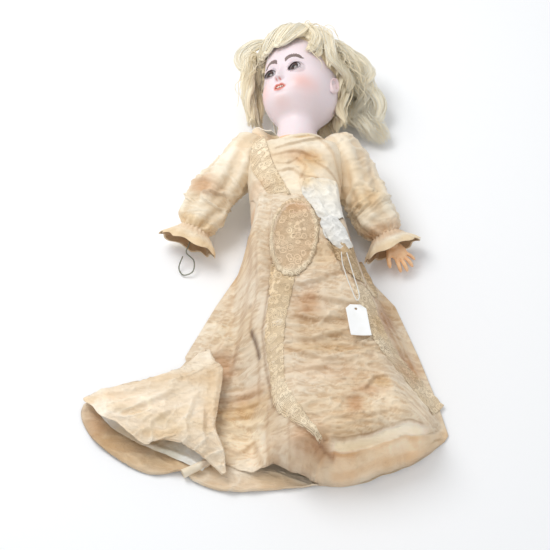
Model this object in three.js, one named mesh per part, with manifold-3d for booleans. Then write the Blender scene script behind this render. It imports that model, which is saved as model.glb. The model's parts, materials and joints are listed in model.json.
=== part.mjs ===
// A jointed bisque-head doll in a trained gown, lying on its back.
// Millimetres. X runs to the doll's left, Y to its crown, Z up from the surface it lies on.
import * as THREE from 'three';
import { mergeVertices } from 'three/addons/utils/BufferGeometryUtils.js';
import Module from 'manifold-3d';

const wasm = await Module();
wasm.setup();

// ---- driving dimensions ---------------------------------------------------
const GAP = 0.4; // clearance between two pieces that touch
const CLOTH = 2.2; // thickness of a cloth solid
const LACE = 1.2; // thickness of a lace or ribbon solid
const SIDES = 12; // sides of a round composition part

const NECK = { at: [2, 188, 50], ball: 26, button: 17.5, turn: 33, lean: 5, lift: 3.4 };
const HEAD = { crown: 158, wall: 4, cut: 136, eyeSpread: 18, eyeHeight: 84.5, eyeDepth: 37.4 };
const FACE = { mouth: 62, nose: 75.5, ears: 79 }; // heights above the neck pivot
const EAR_SPREAD = 45.5;
const EYE = 10; // radius of a glass eye
const TORSO_WALL = 5;
const ELASTIC = 1.8; // radius of a stringing elastic
// torso stations: y, half width, half depth, height of the middle
const TORSO = [
  [186, 32, 27, 48], [176, 43, 31, 47], [150, 46, 35, 45], [120, 45, 36, 44],
  [90, 40, 34, 43], [60, 43, 35, 43], [34, 49, 36, 44], [22, 40, 31, 44],
];
// bodice stations: y, half width, lowest, highest
const BODICE = [
  [188, 40, 14, 76], [178, 58, 6, 82], [160, 62, 1.2, 88],
  [130, 57, 0.8, 91], [100, 53, 0.8, 92], [82, 52, 0.8, 92],
];
const ARM = { ball: 12, elbow: 10.5, wrist: 8, sleeve: 25, sleeveHead: 27 };
const ARMS = {
  left: { shoulder: [57, 172, 48], elbow: [89, 107, 40], wrist: [113, 60, 24], tips: [141, 24, 13] },
  right: { shoulder: [-57, 172, 48], elbow: [-101, 114, 42], wrist: [-127, 62, 25], tips: [-140, 40, 18] },
};
const LEG = { thigh: 108, calf: 112, hip: 15, knee: 14, thick: 20, foot: [12.5, 13, 28], splay: 38 };
const LEGS = {
  left: { hip: [23, 20, 41], heel: [84, -198, 24] },
  right: { hip: [-23, 20, 41], heel: [34, -198, 24] },
};
// skirt stations: y, left edge, right edge, middle of the body under it, ridge, flat half width, fall
const SKIRT = [
  [81, -57, 62, 3, 90, 44, 16],
  [60, -60, 70, 4, 90, 46, 18],
  [30, -66, 80, 5, 88, 52, 22],
  [-20, -94, 118, 14, 79, 46, 44],
  [-90, -128, 142, 30, 66, 46, 58],
  [-150, -118, 160, 46, 62, 48, 62],
  [-200, -102, 172, 59, 74, 50, 62],
  [-224, -92, 166, 59, 72, 50, 62],
  [-246, -82, 150, 58, 42, 46, 60],
  [-262, -60, 112, 50, 6, 40, 60],
];
const TRAIN_LIFT = 24; // how high the train's upper layer bulges
const TAG = { width: 24, length: 42, thick: 0.8, at: [69, -87], lift: 10 };
const STRING = 1.4; // diameter of the ticket string
const SIDE_NAMES = ['left', 'right'];

// ---- materials ------------------------------------------------------------
const finish = (color, roughness, metalness = 0) => () =>
  new THREE.MeshStandardMaterial({ color, roughness, metalness });
const bisque = finish(0xeed9d6, 0.55);
const composition = finish(0xe8a878, 0.35);
const hair = finish(0xdcc79a, 0.7);
const satin = finish(0xe9d9b8, 0.45);
const lace = finish(0xd6bd90, 0.8);
const cotton = finish(0xf3efe6, 0.85);
const glass = finish(0x4a2b1c, 0.08);
const wood = finish(0xb98e5c, 0.7);
const elastic = finish(0xe6dfd0, 0.9);
const steel = finish(0x9b9f98, 0.4, 0.9);
const lead = finish(0x6d6f73, 0.6, 0.7);
const card = finish(0xf7f6f1, 0.8);

// ---- geometry helpers -----------------------------------------------------
const rad = THREE.MathUtils.degToRad;
const vec = (p) => new THREE.Vector3(...p);
const mix = THREE.MathUtils.lerp;

function facing(points, faces) {
  let volume = 0;
  for (const [a, b, c] of faces) {
    volume += points[a].dot(points[b].clone().cross(points[c]));
  }
  const turned = volume < 0 ? faces.map(([a, b, c]) => [a, c, b]) : faces;
  const geometry = new THREE.BufferGeometry().setFromPoints(points);
  geometry.setIndex(turned.flat());
  geometry.computeVertexNormals();
  return geometry;
}

// A closed body through rings of equal count, with a fan at each end.
function loft(rings) {
  const count = rings[0].length;
  const points = rings.flat();
  const faces = [];
  for (let r = 0; r + 1 < rings.length; r++) {
    for (let i = 0; i < count; i++) {
      const [a, b] = [r * count + i, r * count + ((i + 1) % count)];
      faces.push([a, b, b + count], [a, b + count, a + count]);
    }
  }
  for (const [r, flip] of [[0, true], [rings.length - 1, false]]) {
    const middle = rings[r].reduce((sum, p) => sum.add(p), new THREE.Vector3()).divideScalar(count);
    points.push(middle);
    for (let i = 0; i < count; i++) {
      const [a, b] = [r * count + i, r * count + ((i + 1) % count)];
      faces.push(flip ? [points.length - 1, b, a] : [points.length - 1, a, b]);
    }
  }
  return facing(points, faces);
}

// A ring in the plane y = const: an ellipse that squares off as power grows.
function ring(y, halfWidth, halfDepth, z, count = SIDES, x = 0, power = 2) {
  return Array.from({ length: count }, (_, i) => {
    const [c, s] = [Math.cos((i / count) * 2 * Math.PI), Math.sin((i / count) * 2 * Math.PI)];
    const k = (Math.abs(c) ** power + Math.abs(s) ** power) ** (-1 / power);
    return new THREE.Vector3(x + halfWidth * c * k, y, z + halfDepth * s * k);
  });
}

// A sheet of cloth over point(u, v), from `low` to `high` along the normal of its upper side; wrapped,
// it is a tube and the normal is its outer side.
function sheet(point, across, along, low, high, wrapped = false) {
  const columns = wrapped ? across : across + 1;
  const step = 1e-3;
  const points = [];
  for (const offset of [high, low]) {
    for (let j = 0; j <= along; j++) {
      for (let i = 0; i < columns; i++) {
        const [u, v] = [i / across, j / along];
        const [u0, v0] = [Math.max(u - step, wrapped ? -1 : 0), Math.max(v - step, 0)];
        const [u1, v1] = [Math.min(u + step, wrapped ? 2 : 1), Math.min(v + step, 1)];
        const du = point(u1, v).sub(point(u0, v));
        const dv = point(u, v1).sub(point(u, v0));
        const normal = du.cross(dv).normalize();
        const side = !wrapped && normal.z < 0 ? -1 : 1;
        points.push(point(u, v).addScaledVector(normal, side * offset));
      }
    }
  }
  const layer = columns * (along + 1);
  const at = (i, j, k) => k * layer + j * columns + (i % columns);
  const faces = [];
  const quad = (a, b, c, d) => faces.push([a, b, c], [a, c, d]);
  for (let j = 0; j < along; j++) {
    for (let i = 0; i < across; i++) {
      quad(at(i, j, 0), at(i + 1, j, 0), at(i + 1, j + 1, 0), at(i, j + 1, 0));
      quad(at(i, j, 1), at(i, j + 1, 1), at(i + 1, j + 1, 1), at(i + 1, j, 1));
    }
    if (!wrapped) {
      quad(at(0, j, 0), at(0, j + 1, 0), at(0, j + 1, 1), at(0, j, 1));
      quad(at(across, j, 1), at(across, j + 1, 1), at(across, j + 1, 0), at(across, j, 0));
    }
  }
  for (let i = 0; i < across; i++) {
    quad(at(i + 1, 0, 0), at(i, 0, 0), at(i, 0, 1), at(i + 1, 0, 1));
    quad(at(i, along, 0), at(i + 1, along, 0), at(i + 1, along, 1), at(i, along, 1));
  }
  return facing(points, faces);
}

function solid(geometry) {
  const bare = geometry.clone();
  bare.deleteAttribute('normal');
  bare.deleteAttribute('uv');
  const merged = mergeVertices(bare, 1e-4);
  const vertProperties = new Float32Array(merged.attributes.position.array);
  const triVerts = new Uint32Array(merged.index.array);
  return new wasm.Manifold(new wasm.Mesh({ numProp: 3, vertProperties, triVerts }));
}

function surface(manifold) {
  const mesh = manifold.getMesh();
  const geometry = new THREE.BufferGeometry();
  geometry.setAttribute('position', new THREE.BufferAttribute(mesh.vertProperties, 3));
  geometry.setIndex(new THREE.BufferAttribute(mesh.triVerts, 1));
  return geometry;
}

const moved = (geometry, at) => geometry.translate(...at);
const ball = (at, radius, sides = SIDES) =>
  solid(moved(new THREE.SphereGeometry(radius, sides, Math.round(sides * 0.6)), at));
// The room that a ball of this radius needs to turn in: its flats lie outside the ball.
const socket = (at, radius, sides = 14) =>
  ball(at, (radius + GAP) / (Math.cos(Math.PI / sides) * Math.cos(Math.PI / (1.2 * sides))), sides);
const oval = (at, radii, sides = 10) =>
  solid(moved(new THREE.SphereGeometry(1, sides, Math.round(sides * 0.7)).scale(...radii), at));
const block = (low, high) => {
  const size = high.map((value, i) => value - low[i]);
  return solid(moved(new THREE.BoxGeometry(...size), low.map((value, i) => value + size[i] / 2)));
};
const rod = (from, to, radius, sides = 10) => {
  const [a, b] = [vec(from), vec(to)];
  const geometry = new THREE.CylinderGeometry(radius, radius, a.distanceTo(b), sides);
  const along = b.clone().sub(a).normalize();
  geometry.applyQuaternion(new THREE.Quaternion().setFromUnitVectors(vec([0, 1, 0]), along));
  return solid(moved(geometry, a.add(b).multiplyScalar(0.5).toArray()));
};
const wire = (points, radius, sides, steps) => {
  const section = new THREE.Shape().absarc(0, 0, radius, 0, 2 * Math.PI);
  const extrudePath = new THREE.CatmullRomCurve3(points.map(vec));
  return new THREE.ExtrudeGeometry(section, { steps, extrudePath, curveSegments: sides / 2 });
};
const above = (z) => block([-400, -400, z], [400, 400, 400]);

function put(group, name, shape, material) {
  const geometry = shape instanceof wasm.Manifold ? surface(shape) : shape;
  const mesh = new THREE.Mesh(geometry, material());
  mesh.name = name;
  group.add(mesh);
  return mesh;
}

function place(parent, position) {
  const group = new THREE.Group();
  group.position.set(...position);
  parent.add(group);
  return group;
}

// Turns a group so that its own -Y runs along a direction and its own Z stays as near up as it can.
function aim(group, direction) {
  const y = direction.clone().normalize().negate();
  const x = y.clone().cross(vec([0, 0, 1])).normalize();
  group.quaternion.setFromRotationMatrix(new THREE.Matrix4().makeBasis(x, y, x.clone().cross(y)));
}

// ---- the surfaces that the clothes lie on ---------------------------------
function stationsAt(table, y) {
  let k = table.findIndex((row, i) => i > 0 && y >= row[0]);
  k = k < 0 ? table.length - 1 : k;
  const t = THREE.MathUtils.clamp((table[k - 1][0] - y) / (table[k - 1][0] - table[k][0]), 0, 1);
  return table[k].map((value, i) => mix(table[k - 1][i], value, t));
}

const torsoRings = (grow) =>
  TORSO.map(([y, width, depth, z], i) => {
    const end = i === 0 ? grow : i === TORSO.length - 1 ? -grow : 0;
    return ring(y + end, width + grow, depth + grow, z, 16, 0, 2.3);
  });
const bodiceRings = (grow) =>
  BODICE.map(([y, width, low, high], i) => {
    const end = i === 0 ? grow : i === BODICE.length - 1 ? -grow : 0;
    return ring(y + end, width + grow, (high - low) / 2 + grow, (high + low) / 2, 16, 0, 2.6);
  });

function bodiceFront(x, y) {
  const [, width, low, high] = stationsAt(BODICE, y);
  const side = Math.min(Math.abs(x) / width, 0.97);
  return (high + low) / 2 + ((high - low) / 2) * (1 - side ** 2.6) ** (1 / 2.6);
}

const EDGE_HEIGHT = 3.2; // height of the skirt's upper layer where it meets the lower one
function skirtHeight(x, y) {
  const [, , , middle, ridge, flat, fall] = stationsAt(SKIRT, y);
  const t = THREE.MathUtils.clamp((Math.abs(x - middle) - flat) / fall, 0, 1);
  return EDGE_HEIGHT + (ridge - EDGE_HEIGHT) * (0.5 + 0.5 * Math.cos(Math.PI * t)) ** 0.8;
}
const onSkirt = (x, y) => new THREE.Vector3(x, y, skirtHeight(x, y));

function skirtPoint(u, v) {
  const k = Math.min(Math.floor(v * (SKIRT.length - 1)), SKIRT.length - 2);
  const y = mix(SKIRT[k][0], SKIRT[k + 1][0], v * (SKIRT.length - 1) - k);
  const [, left, right] = stationsAt(SKIRT, y);
  return onSkirt(mix(left, right, u), y);
}
const skirtSheet = (low, high) => sheet(skirtPoint, 14, SKIRT.length - 1, low, high);

// A four-cornered patch of cloth on the skirt, cut clear of what it lies on.
function patch(corners, level, thick, across = 2, along = 6) {
  const [a, b, c, d] = corners;
  const point = (u, v) =>
    onSkirt(mix(mix(a[0], b[0], u), mix(d[0], c[0], u), v), mix(mix(a[1], b[1], u), mix(d[1], c[1], u), v));
  const base = CLOTH + GAP + level * (LACE + GAP);
  const cloth = solid(sheet(point, across, along, base - 0.6, base + thick));
  const body = cloth.subtract(solid(skirtSheet(-6, base)));
  return body.decompose().sort((one, other) => other.volume() - one.volume())[0];
}

const root = new THREE.Group();
const doll = place(root, [0, 0, 0]);

// ---- torso and the strings inside it --------------------------------------
function buildTorso() {
  const cavity = solid(loft(torsoRings(-TORSO_WALL)));
  let body = solid(loft(torsoRings(0))).subtract(cavity);
  const sockets = [[NECK.at, NECK.ball]];
  for (const side of SIDE_NAMES) {
    sockets.push([ARMS[side].shoulder, ARM.ball], [LEGS[side].hip, LEG.hip]);
  }
  for (const [at, radius] of sockets) {
    body = body.subtract(socket(at, radius));
  }
  const seam = 46;
  put(doll, 'torso_front_shell', body.intersect(above(seam + GAP / 2)), composition);
  put(doll, 'torso_back_shell', body.subtract(above(seam - GAP / 2)), composition);
  const [x, y, z] = NECK.at;
  put(doll, 'arm_elastic', rod([-36, 150, 42], [36, 150, 42], ELASTIC), elastic);
  for (const [side, sign] of [['left', 1], ['right', -1]]) {
    const hip = LEGS[side].hip;
    const low = [hip[0] - sign * 3, hip[1] + 21, hip[2]];
    put(doll, `leg_elastic_${side}`, rod([x + sign * 4, y - 50, z], low, ELASTIC), elastic);
  }
}

// ---- head -----------------------------------------------------------------
const HEAD_STATIONS = [
  // y, half width, half depth, forward
  [-17, 19.6, 19.6, 0], [-8, 24.7, 24.7, 0], [2, 25.9, 25.9, 0], [12, 24.4, 24.4, 0], [26, 24, 24, 0],
  [33, 27, 29, 3], [41, 34, 39, 5], [52, 42, 46, 3], [66, 46, 50, 0], [84, 46, 51, 0], [104, 46, 52, -1],
  [124, 43, 49, -1], [141, 33, 38, -2], [152, 20, 23, -2], [157.5, 7, 8, -2],
];
const headRings = (grow, stations = HEAD_STATIONS) =>
  stations.map(([y, width, depth, forward], i, rows) => {
    const end = i === rows.length - 1 ? grow : 0;
    return ring(y + end, width + grow, depth + grow, forward, 14);
  });

function buildHead() {
  const neck = place(doll, NECK.at);
  neck.rotation.set(rad(NECK.lift), rad(-NECK.turn), rad(-NECK.lean), 'ZXY');
  const outer = solid(loft(headRings(0)));
  const inside = solid(loft(headRings(-HEAD.wall, HEAD_STATIONS.filter((row, i) => i % 2))));
  const hollow = inside.add(rod([0, -20, 0], [0, 4, 0], 9, 14));
  const crown = rod([0, HEAD.cut, 0], [0, HEAD.crown + 20, 0], 80, 12);
  const nose = oval([0, FACE.nose, 51], [5.5, 8, 7], 8);
  const ears = [-1, 1].map((side) => oval([side * EAR_SPREAD, FACE.ears, -5], [4, 13, 8.5], 8));
  let skull = outer.add(nose).add(ears[0]).add(ears[1]).subtract(hollow).subtract(crown);
  skull = skull.subtract(socket([0, 0, 0], NECK.button));
  const eyes = [-1, 1].map((side) => [side * HEAD.eyeSpread, HEAD.eyeHeight, HEAD.eyeDepth]);
  for (const eye of eyes) {
    skull = skull.subtract(socket(eye, EYE, 12));
  }
  const mouth = block([-8, FACE.mouth - 2.5, 44], [8, FACE.mouth + 2.5, 60]);
  put(neck, 'bisque_head', skull.subtract(mouth), bisque);
  put(neck, 'upper_teeth', block([-5.5, FACE.mouth - 1.5, 43], [5.5, FACE.mouth + 1.7, 44.6]), bisque);
  const dome = solid(loft(headRings(-0.4))).subtract(solid(loft(headRings(-3))));
  const aboveCut = rod([0, HEAD.cut + GAP, 0], [0, 190, 0], 80, 12);
  put(neck, 'crown_pate', dome.intersect(crown).intersect(aboveCut), card);
  eyes.forEach((eye, i) => put(neck, i ? 'left_eyeball' : 'right_eyeball', ball(eye, EYE, 12), glass));
  const [, height, depth] = eyes[0];
  const inner = HEAD.eyeSpread - EYE - GAP;
  put(neck, 'eye_bridge', rod([-inner, height, depth], [inner, height, depth], 3, 8), lead);
  const arm = rod([0, height - 3.4, depth - 1], [0, height - 30, depth - 8], 1.6, 8);
  put(neck, 'eye_weight', arm.add(oval([0, height - 31, depth - 8], [7, 6, 6], 10)), lead);
  const button = ball([0, 0, 0], NECK.button).intersect(block([-30, -30, -30], [30, 4, 30]));
  put(neck, 'neck_button', button.subtract(rod([0, -30, 0], [0, 30, 0], 1.8)), wood);
  const hookPath = [[0, 12, 0], [0, 6, 0], [0, -10, 0], [0, -26, 0], [3, -34, 0], [0, -39, 0], [-4, -36, 0]];
  put(neck, 'neck_hook', wire(hookPath, 1.2, 6, 14), steel);
  return neck;
}

// The wig: a cap on the skull, a lock that hangs beside the face and curls spread on the floor.
function buildWig(neck) {
  root.updateMatrixWorld(true);
  const toDoll = new THREE.Matrix4().copy(doll.matrixWorld).invert().multiply(neck.matrixWorld);
  const inDoll = (geometry) => geometry.applyMatrix4(toDoll);
  const cap = solid(inDoll(new THREE.SphereGeometry(1, 14, 10).scale(57, 66, 61).translate(0, 106, -4)));
  const curls = [
    oval([-50, 290, 40], [17, 58, 30], 8), oval([-44, 240, 34], [15, 33, 24], 8),
    oval([72, 300, 30], [30, 48, 28], 8), oval([84, 262, 24], [33, 38, 22], 8),
    oval([66, 236, 22], [26, 26, 20], 8),
  ];
  const head = solid(inDoll(loft(headRings(GAP))));
  const earRoom = (side) => oval([side * EAR_SPREAD, FACE.ears, -5], [5, 14, 9.5], 8);
  const ears = [-1, 1].map((side) => solid(inDoll(surface(earRoom(side)))));
  const face = solid(inDoll(surface(oval([4, 72, 66], [46, 54, 52], 12))));
  const ear = solid(inDoll(surface(oval([50, 70, 4], [13, 18, 14], 8))));
  let wig = curls.reduce((sum, curl) => sum.add(curl), cap);
  const neckRoom = solid(inDoll(surface(rod([0, -20, 0], [0, 50, 0], 31, 12))));
  for (const cut of [head, ...ears, face, ear, neckRoom, block([-300, -300, -50], [300, 212, 300])]) {
    wig = wig.subtract(cut);
  }
  const largest = wig.intersect(above(0.6)).decompose().sort((a, b) => b.volume() - a.volume())[0];
  put(neck, 'mohair_wig', surface(largest).applyMatrix4(toDoll.invert()), hair);
}

// ---- arms and sleeves -----------------------------------------------------
function tube(stations, sides, wall) {
  const at = (u, v) => {
    const k = Math.min(Math.floor(v * (stations.length - 1)), stations.length - 2);
    const t = v * (stations.length - 1) - k;
    const [y, width, depth, z] = stations[k].map((value, i) => mix(value, stations[k + 1][i], t));
    return new THREE.Vector3(width * Math.cos(2 * Math.PI * u), y, z + depth * Math.sin(2 * Math.PI * u));
  };
  return solid(sheet(at, sides, stations.length - 1, -wall, 0, true));
}

function buildArm(side) {
  const { shoulder, elbow, wrist, tips } = ARMS[side];
  const shoulderGroup = place(doll, shoulder);
  put(shoulderGroup, `${side}_shoulder_ball`, ball([0, 0, 0], ARM.ball), composition);
  const upper = place(doll, shoulder);
  aim(upper, vec(elbow).sub(vec(shoulder)));
  const length = vec(elbow).distanceTo(vec(shoulder));
  const upperArm = loft([
    ring(-4, 10, 10, 0), ring(-15, 13.5, 13.5, 0), ring(-34, 13.5, 13.5, 0), ring(-length + 5, 11, 11, 0),
  ]);
  put(upper, `${side}_upper_arm`, solid(upperArm)
    .subtract(socket([0, 0, 0], ARM.ball)).subtract(socket([0, -length, 0], ARM.elbow)), composition);
  put(upper, `${side}_elbow_ball`, ball([0, -length, 0], ARM.elbow), composition);
  const head = ARM.sleeveHead;
  const sleeve = tube([
    [head * 0.86, head * 0.5, head * 0.5, 0], [head * 0.5, head * 0.86, head * 0.86, 0], [0, head, head, 0],
    [-22, head - 1, head - 3, 0], [-48, ARM.sleeve, ARM.sleeve - 4, 0],
    [-length + 1, ARM.sleeve - 1, ARM.sleeve - 5, 0],
  ], SIDES, CLOTH);
  const clear = solid(loft(torsoRings(1))).add(solid(loft(bodiceRings(GAP))).subtract(ball(shoulder, 60)));
  upper.updateMatrix();
  const here = surface(clear).applyMatrix4(upper.matrix.clone().invert());
  put(upper, `${side}_upper_sleeve`, sleeve.subtract(solid(here)), satin);
  const lower = place(doll, elbow);
  aim(lower, vec(wrist).sub(vec(elbow)));
  const reach = vec(wrist).distanceTo(vec(elbow));
  const stump = side === 'right' ? rod([0, -reach - 5, 0], [0, -reach + 16, 0], 4.5, 12) : null;
  let forearm = solid(loft([
    ring(-4, 9.6, 9.6, 0), ring(-12, 13, 12.4, 0), ring(-28, 12.4, 11.6, 0), ring(-reach + 8, 9, 8.4, 0),
    ring(-reach + 2, 9.4, 8.8, 0),
  ])).subtract(socket([0, 0, 0], ARM.elbow));
  forearm = stump ? forearm.subtract(stump) : forearm.subtract(socket([0, -reach, 0], ARM.wrist));
  put(lower, `${side}_forearm`, forearm, composition);
  const z = -2;
  lower.updateMatrix();
  const toLower = lower.matrix.clone().invert();
  const upperRoom = surface(rod(shoulder, elbow, ARM.sleeve + 4, 12)).applyMatrix4(toLower);
  put(lower, `${side}_lower_sleeve`, tube([
    [-1, ARM.sleeve - 1, ARM.sleeve - 5, 0], [-20, ARM.sleeve, 19, z], [-36, 21, 17, z], [-44, 16.5, 14.5, z],
  ], SIDES, CLOTH).subtract(solid(upperRoom)), satin);
  put(lower, `${side}_cuff`, tube([
    [-44.5, 16.5, 14.5, z], [-50, 22, 16, z - 1], [-60, 33, 17.5, z - 1], [-64, 37, 18, z - 1],
  ], 16, LACE + 0.4), satin);
  return { lower, reach, direction: vec(tips).sub(vec(wrist)) };
}

function buildHand({ direction }) {
  const hand = place(doll, ARMS.left.wrist);
  aim(hand, direction);
  let shape = oval([0, -16, -1], [11, 14, 6], 10).subtract(ball([0, 0, 0], 3.9));
  shape = shape.add(ball([0, 0, 0], ARM.wrist - 0.6, 10));
  for (const [x, reach, spread] of [[-7.5, 37, -3], [-2.5, 40, -1], [2.5, 39, 1.5], [7, 34, 5]]) {
    shape = shape.add(rod([x, -22, -1], [x + spread, -reach, -4], 2.4, 6));
  }
  shape = shape.add(rod([-8, -14, -1], [-17, -26, -4], 2.7, 6));
  put(hand, 'left_hand', shape, composition);
}

function buildWireLoop({ lower, reach }) {
  const crossbar = rod([-4, -reach + 5, 0], [4, -reach + 5, 0], 0.9, 8);
  put(lower, 'right_wrist_pin', crossbar, steel);
  const y = -reach + 2;
  const path = [
    [1.5, y, 1], [2.5, y - 9, -1], [3, y - 17, -4], [15, y - 22, -7],
    [19, y - 34, -10], [10, y - 42, -11.5], [1, y - 36, -11], [0, y - 22, -7],
  ];
  put(lower, 'right_wire_loop', wire(path, 0.8, 6, 24), steel);
}

// ---- legs -----------------------------------------------------------------
function buildLeg(side) {
  const { hip, heel } = LEGS[side];
  const hipGroup = place(doll, hip);
  put(hipGroup, `${side}_hip_ball`, ball([0, 0, 0], LEG.hip), composition);
  const leg = place(doll, hip);
  aim(leg, vec(heel).sub(vec(hip)));
  const thigh = solid(loft([
    ring(-5, 15, 15, 0), ring(-18, LEG.thick, LEG.thick, 0), ring(-60, 18, 18, 0),
    ring(-LEG.thigh + 8, 14.5, 14.5, 0),
  ])).subtract(socket([0, 0, 0], LEG.hip)).subtract(socket([0, -LEG.thigh, 0], LEG.knee));
  put(leg, `${side}_thigh`, thigh, composition);
  put(leg, `${side}_knee_ball`, ball([0, -LEG.thigh, 0], LEG.knee), composition);
  const knee = place(leg, [0, -LEG.thigh, 0]);
  const shin = solid(loft([
    ring(-5, 13.5, 13.5, 0), ring(-16, 16.5, 16.5, 0), ring(-45, 16, 17, -1), ring(-88, 10.5, 11, 0),
    ring(-LEG.calf - 2, 11, 12, 0), ring(-LEG.calf - 10, 8, 9, 0),
  ])).subtract(socket([0, 0, 0], LEG.knee));
  const outward = rad(side === 'left' ? LEG.splay : -LEG.splay);
  const foot = moved(new THREE.SphereGeometry(1, 10, 8).scale(...LEG.foot), [0, 0, 19]).rotateY(outward);
  put(knee, `${side}_lower_leg`, shin.add(solid(moved(foot, [0, -LEG.calf + 1, 0]))), composition);
}

// ---- bodice ---------------------------------------------------------------
function buildBodice() {
  let body = solid(loft(bodiceRings(0))).subtract(solid(loft(torsoRings(GAP))));
  body = body.subtract(rod([NECK.at[0], 150, NECK.at[2]], [NECK.at[0], 230, NECK.at[2]], 33, 16));
  for (const side of SIDE_NAMES) {
    body = body.subtract(socket(ARMS[side].shoulder, ARM.sleeveHead));
    const [from, to] = [ARMS[side].shoulder, ARMS[side].elbow];
    body = body.subtract(rod(from, to, ARM.sleeveHead + 3 * GAP, 12));
  }
  const largest = body.decompose().sort((a, b) => b.volume() - a.volume())[0];
  put(doll, 'bodice', largest, satin);
  const band = new THREE.TorusGeometry(32.6, 2.6, 6, 20).rotateX(Math.PI / 2);
  put(doll, 'neck_piping', moved(band, [NECK.at[0], 191.4, NECK.at[2]]), satin);
  const collar = sheet((u, v) => {
    const angle = mix(rad(120), rad(205), u);
    const radius = 31.5 + 4 * v;
    const rise = 14 * v * Math.sin(Math.PI * mix(0.15, 0.85, u));
    const [x, , z] = NECK.at;
    return new THREE.Vector3(x + radius * Math.cos(angle), 194.6 + rise, z + radius * Math.sin(angle));
  }, 8, 3, 0, 1.4);
  put(doll, 'collar_stand', collar, satin);
}

// A band of lace laid over the bodice front between two lines.
function overBodice(name, inner, outer, lift, across, material) {
  const point = (u, v) => {
    const x = mix(mix(inner[0][0], inner[1][0], v), mix(outer[0][0], outer[1][0], v), u);
    const y = mix(mix(inner[0][1], inner[1][1], v), mix(outer[0][1], outer[1][1], v), u);
    return new THREE.Vector3(x, y, bodiceFront(x, y));
  };
  let band = solid(sheet(point, across, 8, lift - 1, lift + LACE)).subtract(solid(loft(bodiceRings(lift))));
  for (const side of SIDE_NAMES) {
    band = band.subtract(socket(ARMS[side].shoulder, ARM.sleeveHead));
    band = band.subtract(rod(ARMS[side].shoulder, ARMS[side].elbow, ARM.sleeveHead + 3 * GAP, 12));
  }
  band = band.subtract(rod([NECK.at[0], 150, NECK.at[2]], [NECK.at[0], 230, NECK.at[2]], 36, 24));
  put(doll, name, band.decompose().sort((a, b) => b.volume() - a.volume())[0], material);
}

// ---- skirt, train and what lies on them -----------------------------------
function buildSkirt() {
  put(doll, 'skirt_front', skirtSheet(0, CLOTH), satin);
  const rows = SKIRT.length - 1;
  const inside = (u, v) => skirtPoint(mix(3, 11, u) / 14, mix(2, rows - 1, v) / rows);
  put(doll, 'petticoat', sheet(inside, 8, rows - 3, -GAP - LACE, -GAP), cotton);
  const back = new THREE.Shape(SKIRT.map(([y, left]) => new THREE.Vector2(left + 1, y))
    .concat(SKIRT.map(([y, , right]) => new THREE.Vector2(right - 1, y)).reverse()));
  const plate = { depth: CLOTH, bevelEnabled: false };
  put(doll, 'skirt_back', new THREE.ExtrudeGeometry(back, plate), satin);
}

function buildTrain() {
  const rim = (v) => {
    const y = mix(-74, -252, v);
    return new THREE.Vector2(stationsAt(SKIRT, y)[1] - 0.8, y);
  };
  const far = new THREE.CatmullRomCurve3([
    [-132, -84, 0], [-150, -118, 0], [-196, -122, 0], [-240, -150, 0],
    [-222, -190, 0], [-180, -206, 0], [-130, -226, 0], [-92, -250, 0],
  ].map(vec), false, 'centripetal');
  const upper = (u, v) => {
    const [a, b] = [rim(v), far.getPoint(v)];
    const lift = TRAIN_LIFT * Math.sin(Math.PI * THREE.MathUtils.clamp(v * 1.15 - 0.1, 0, 1)) ** 0.7;
    const outer = THREE.MathUtils.smoothstep(v, 0.45, 0.8);
    const bulge = u < 0.5 ? mix(0.25, 1, u * 2) : mix(1, outer, (u - 0.5) * 2);
    return new THREE.Vector3(mix(a.x, b.x, u), mix(a.y, b.y, u), 8.5 + lift * bulge);
  };
  put(doll, 'train_upper', sheet(upper, 6, 10, -CLOTH, 0), satin);
  const edge = [
    [-133, -84], [-150, -119], [-192, -123], [-240, -149], [-238, -176],
    [-208, -212], [-170, -236], [-120, -254], [-74, -266], [-58, -264],
  ];
  const under = SKIRT.filter(([y]) => y < -80).map(([y, left]) => new THREE.Vector2(left - 0.6, y)).reverse();
  const outline = new THREE.Shape(under.concat(edge.map(([x, y]) => new THREE.Vector2(x, y))));
  put(doll, 'train_under', new THREE.ExtrudeGeometry(outline, { depth: CLOTH, bevelEnabled: false }), satin);
  const inner = (u, v) => {
    const x = mix(mix(-122, -116, v), mix(-206, -160, v), u);
    const y = mix(-150, mix(-232, -208, u), v);
    return new THREE.Vector3(x, y, 4.2 + 1.2 * Math.sin(3 * Math.PI * u));
  };
  put(doll, 'train_inner_fold', sheet(inner, 10, 4, 0, 1.4), cotton);
}

function buildTrimmings() {
  put(doll, 'front_net_panel', patch([[-22, 66], [30, 66], [48, -16], [-14, -12]], 0, LACE, 5, 5), lace);
  put(doll, 'skirt_lace_left', patch([[-44, 34], [-27, 34], [4, -196], [-14, -196]], 0, LACE, 1, 12), lace);
  const right = [[52, -46], [68, -30], [152, -166], [118, -158]];
  put(doll, 'skirt_lace_right', patch(right, 0, LACE, 2, 10), lace);
  put(doll, 'waist_flap', patch([[34, 40], [56, 60], [84, 6], [60, -22]], 1, LACE, 3, 4), cotton);
  put(doll, 'waistband_lace', patch([[60, 62], [69, 60], [100, 4], [88, -2]], 0, LACE, 2, 4), lace);
}

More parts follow.
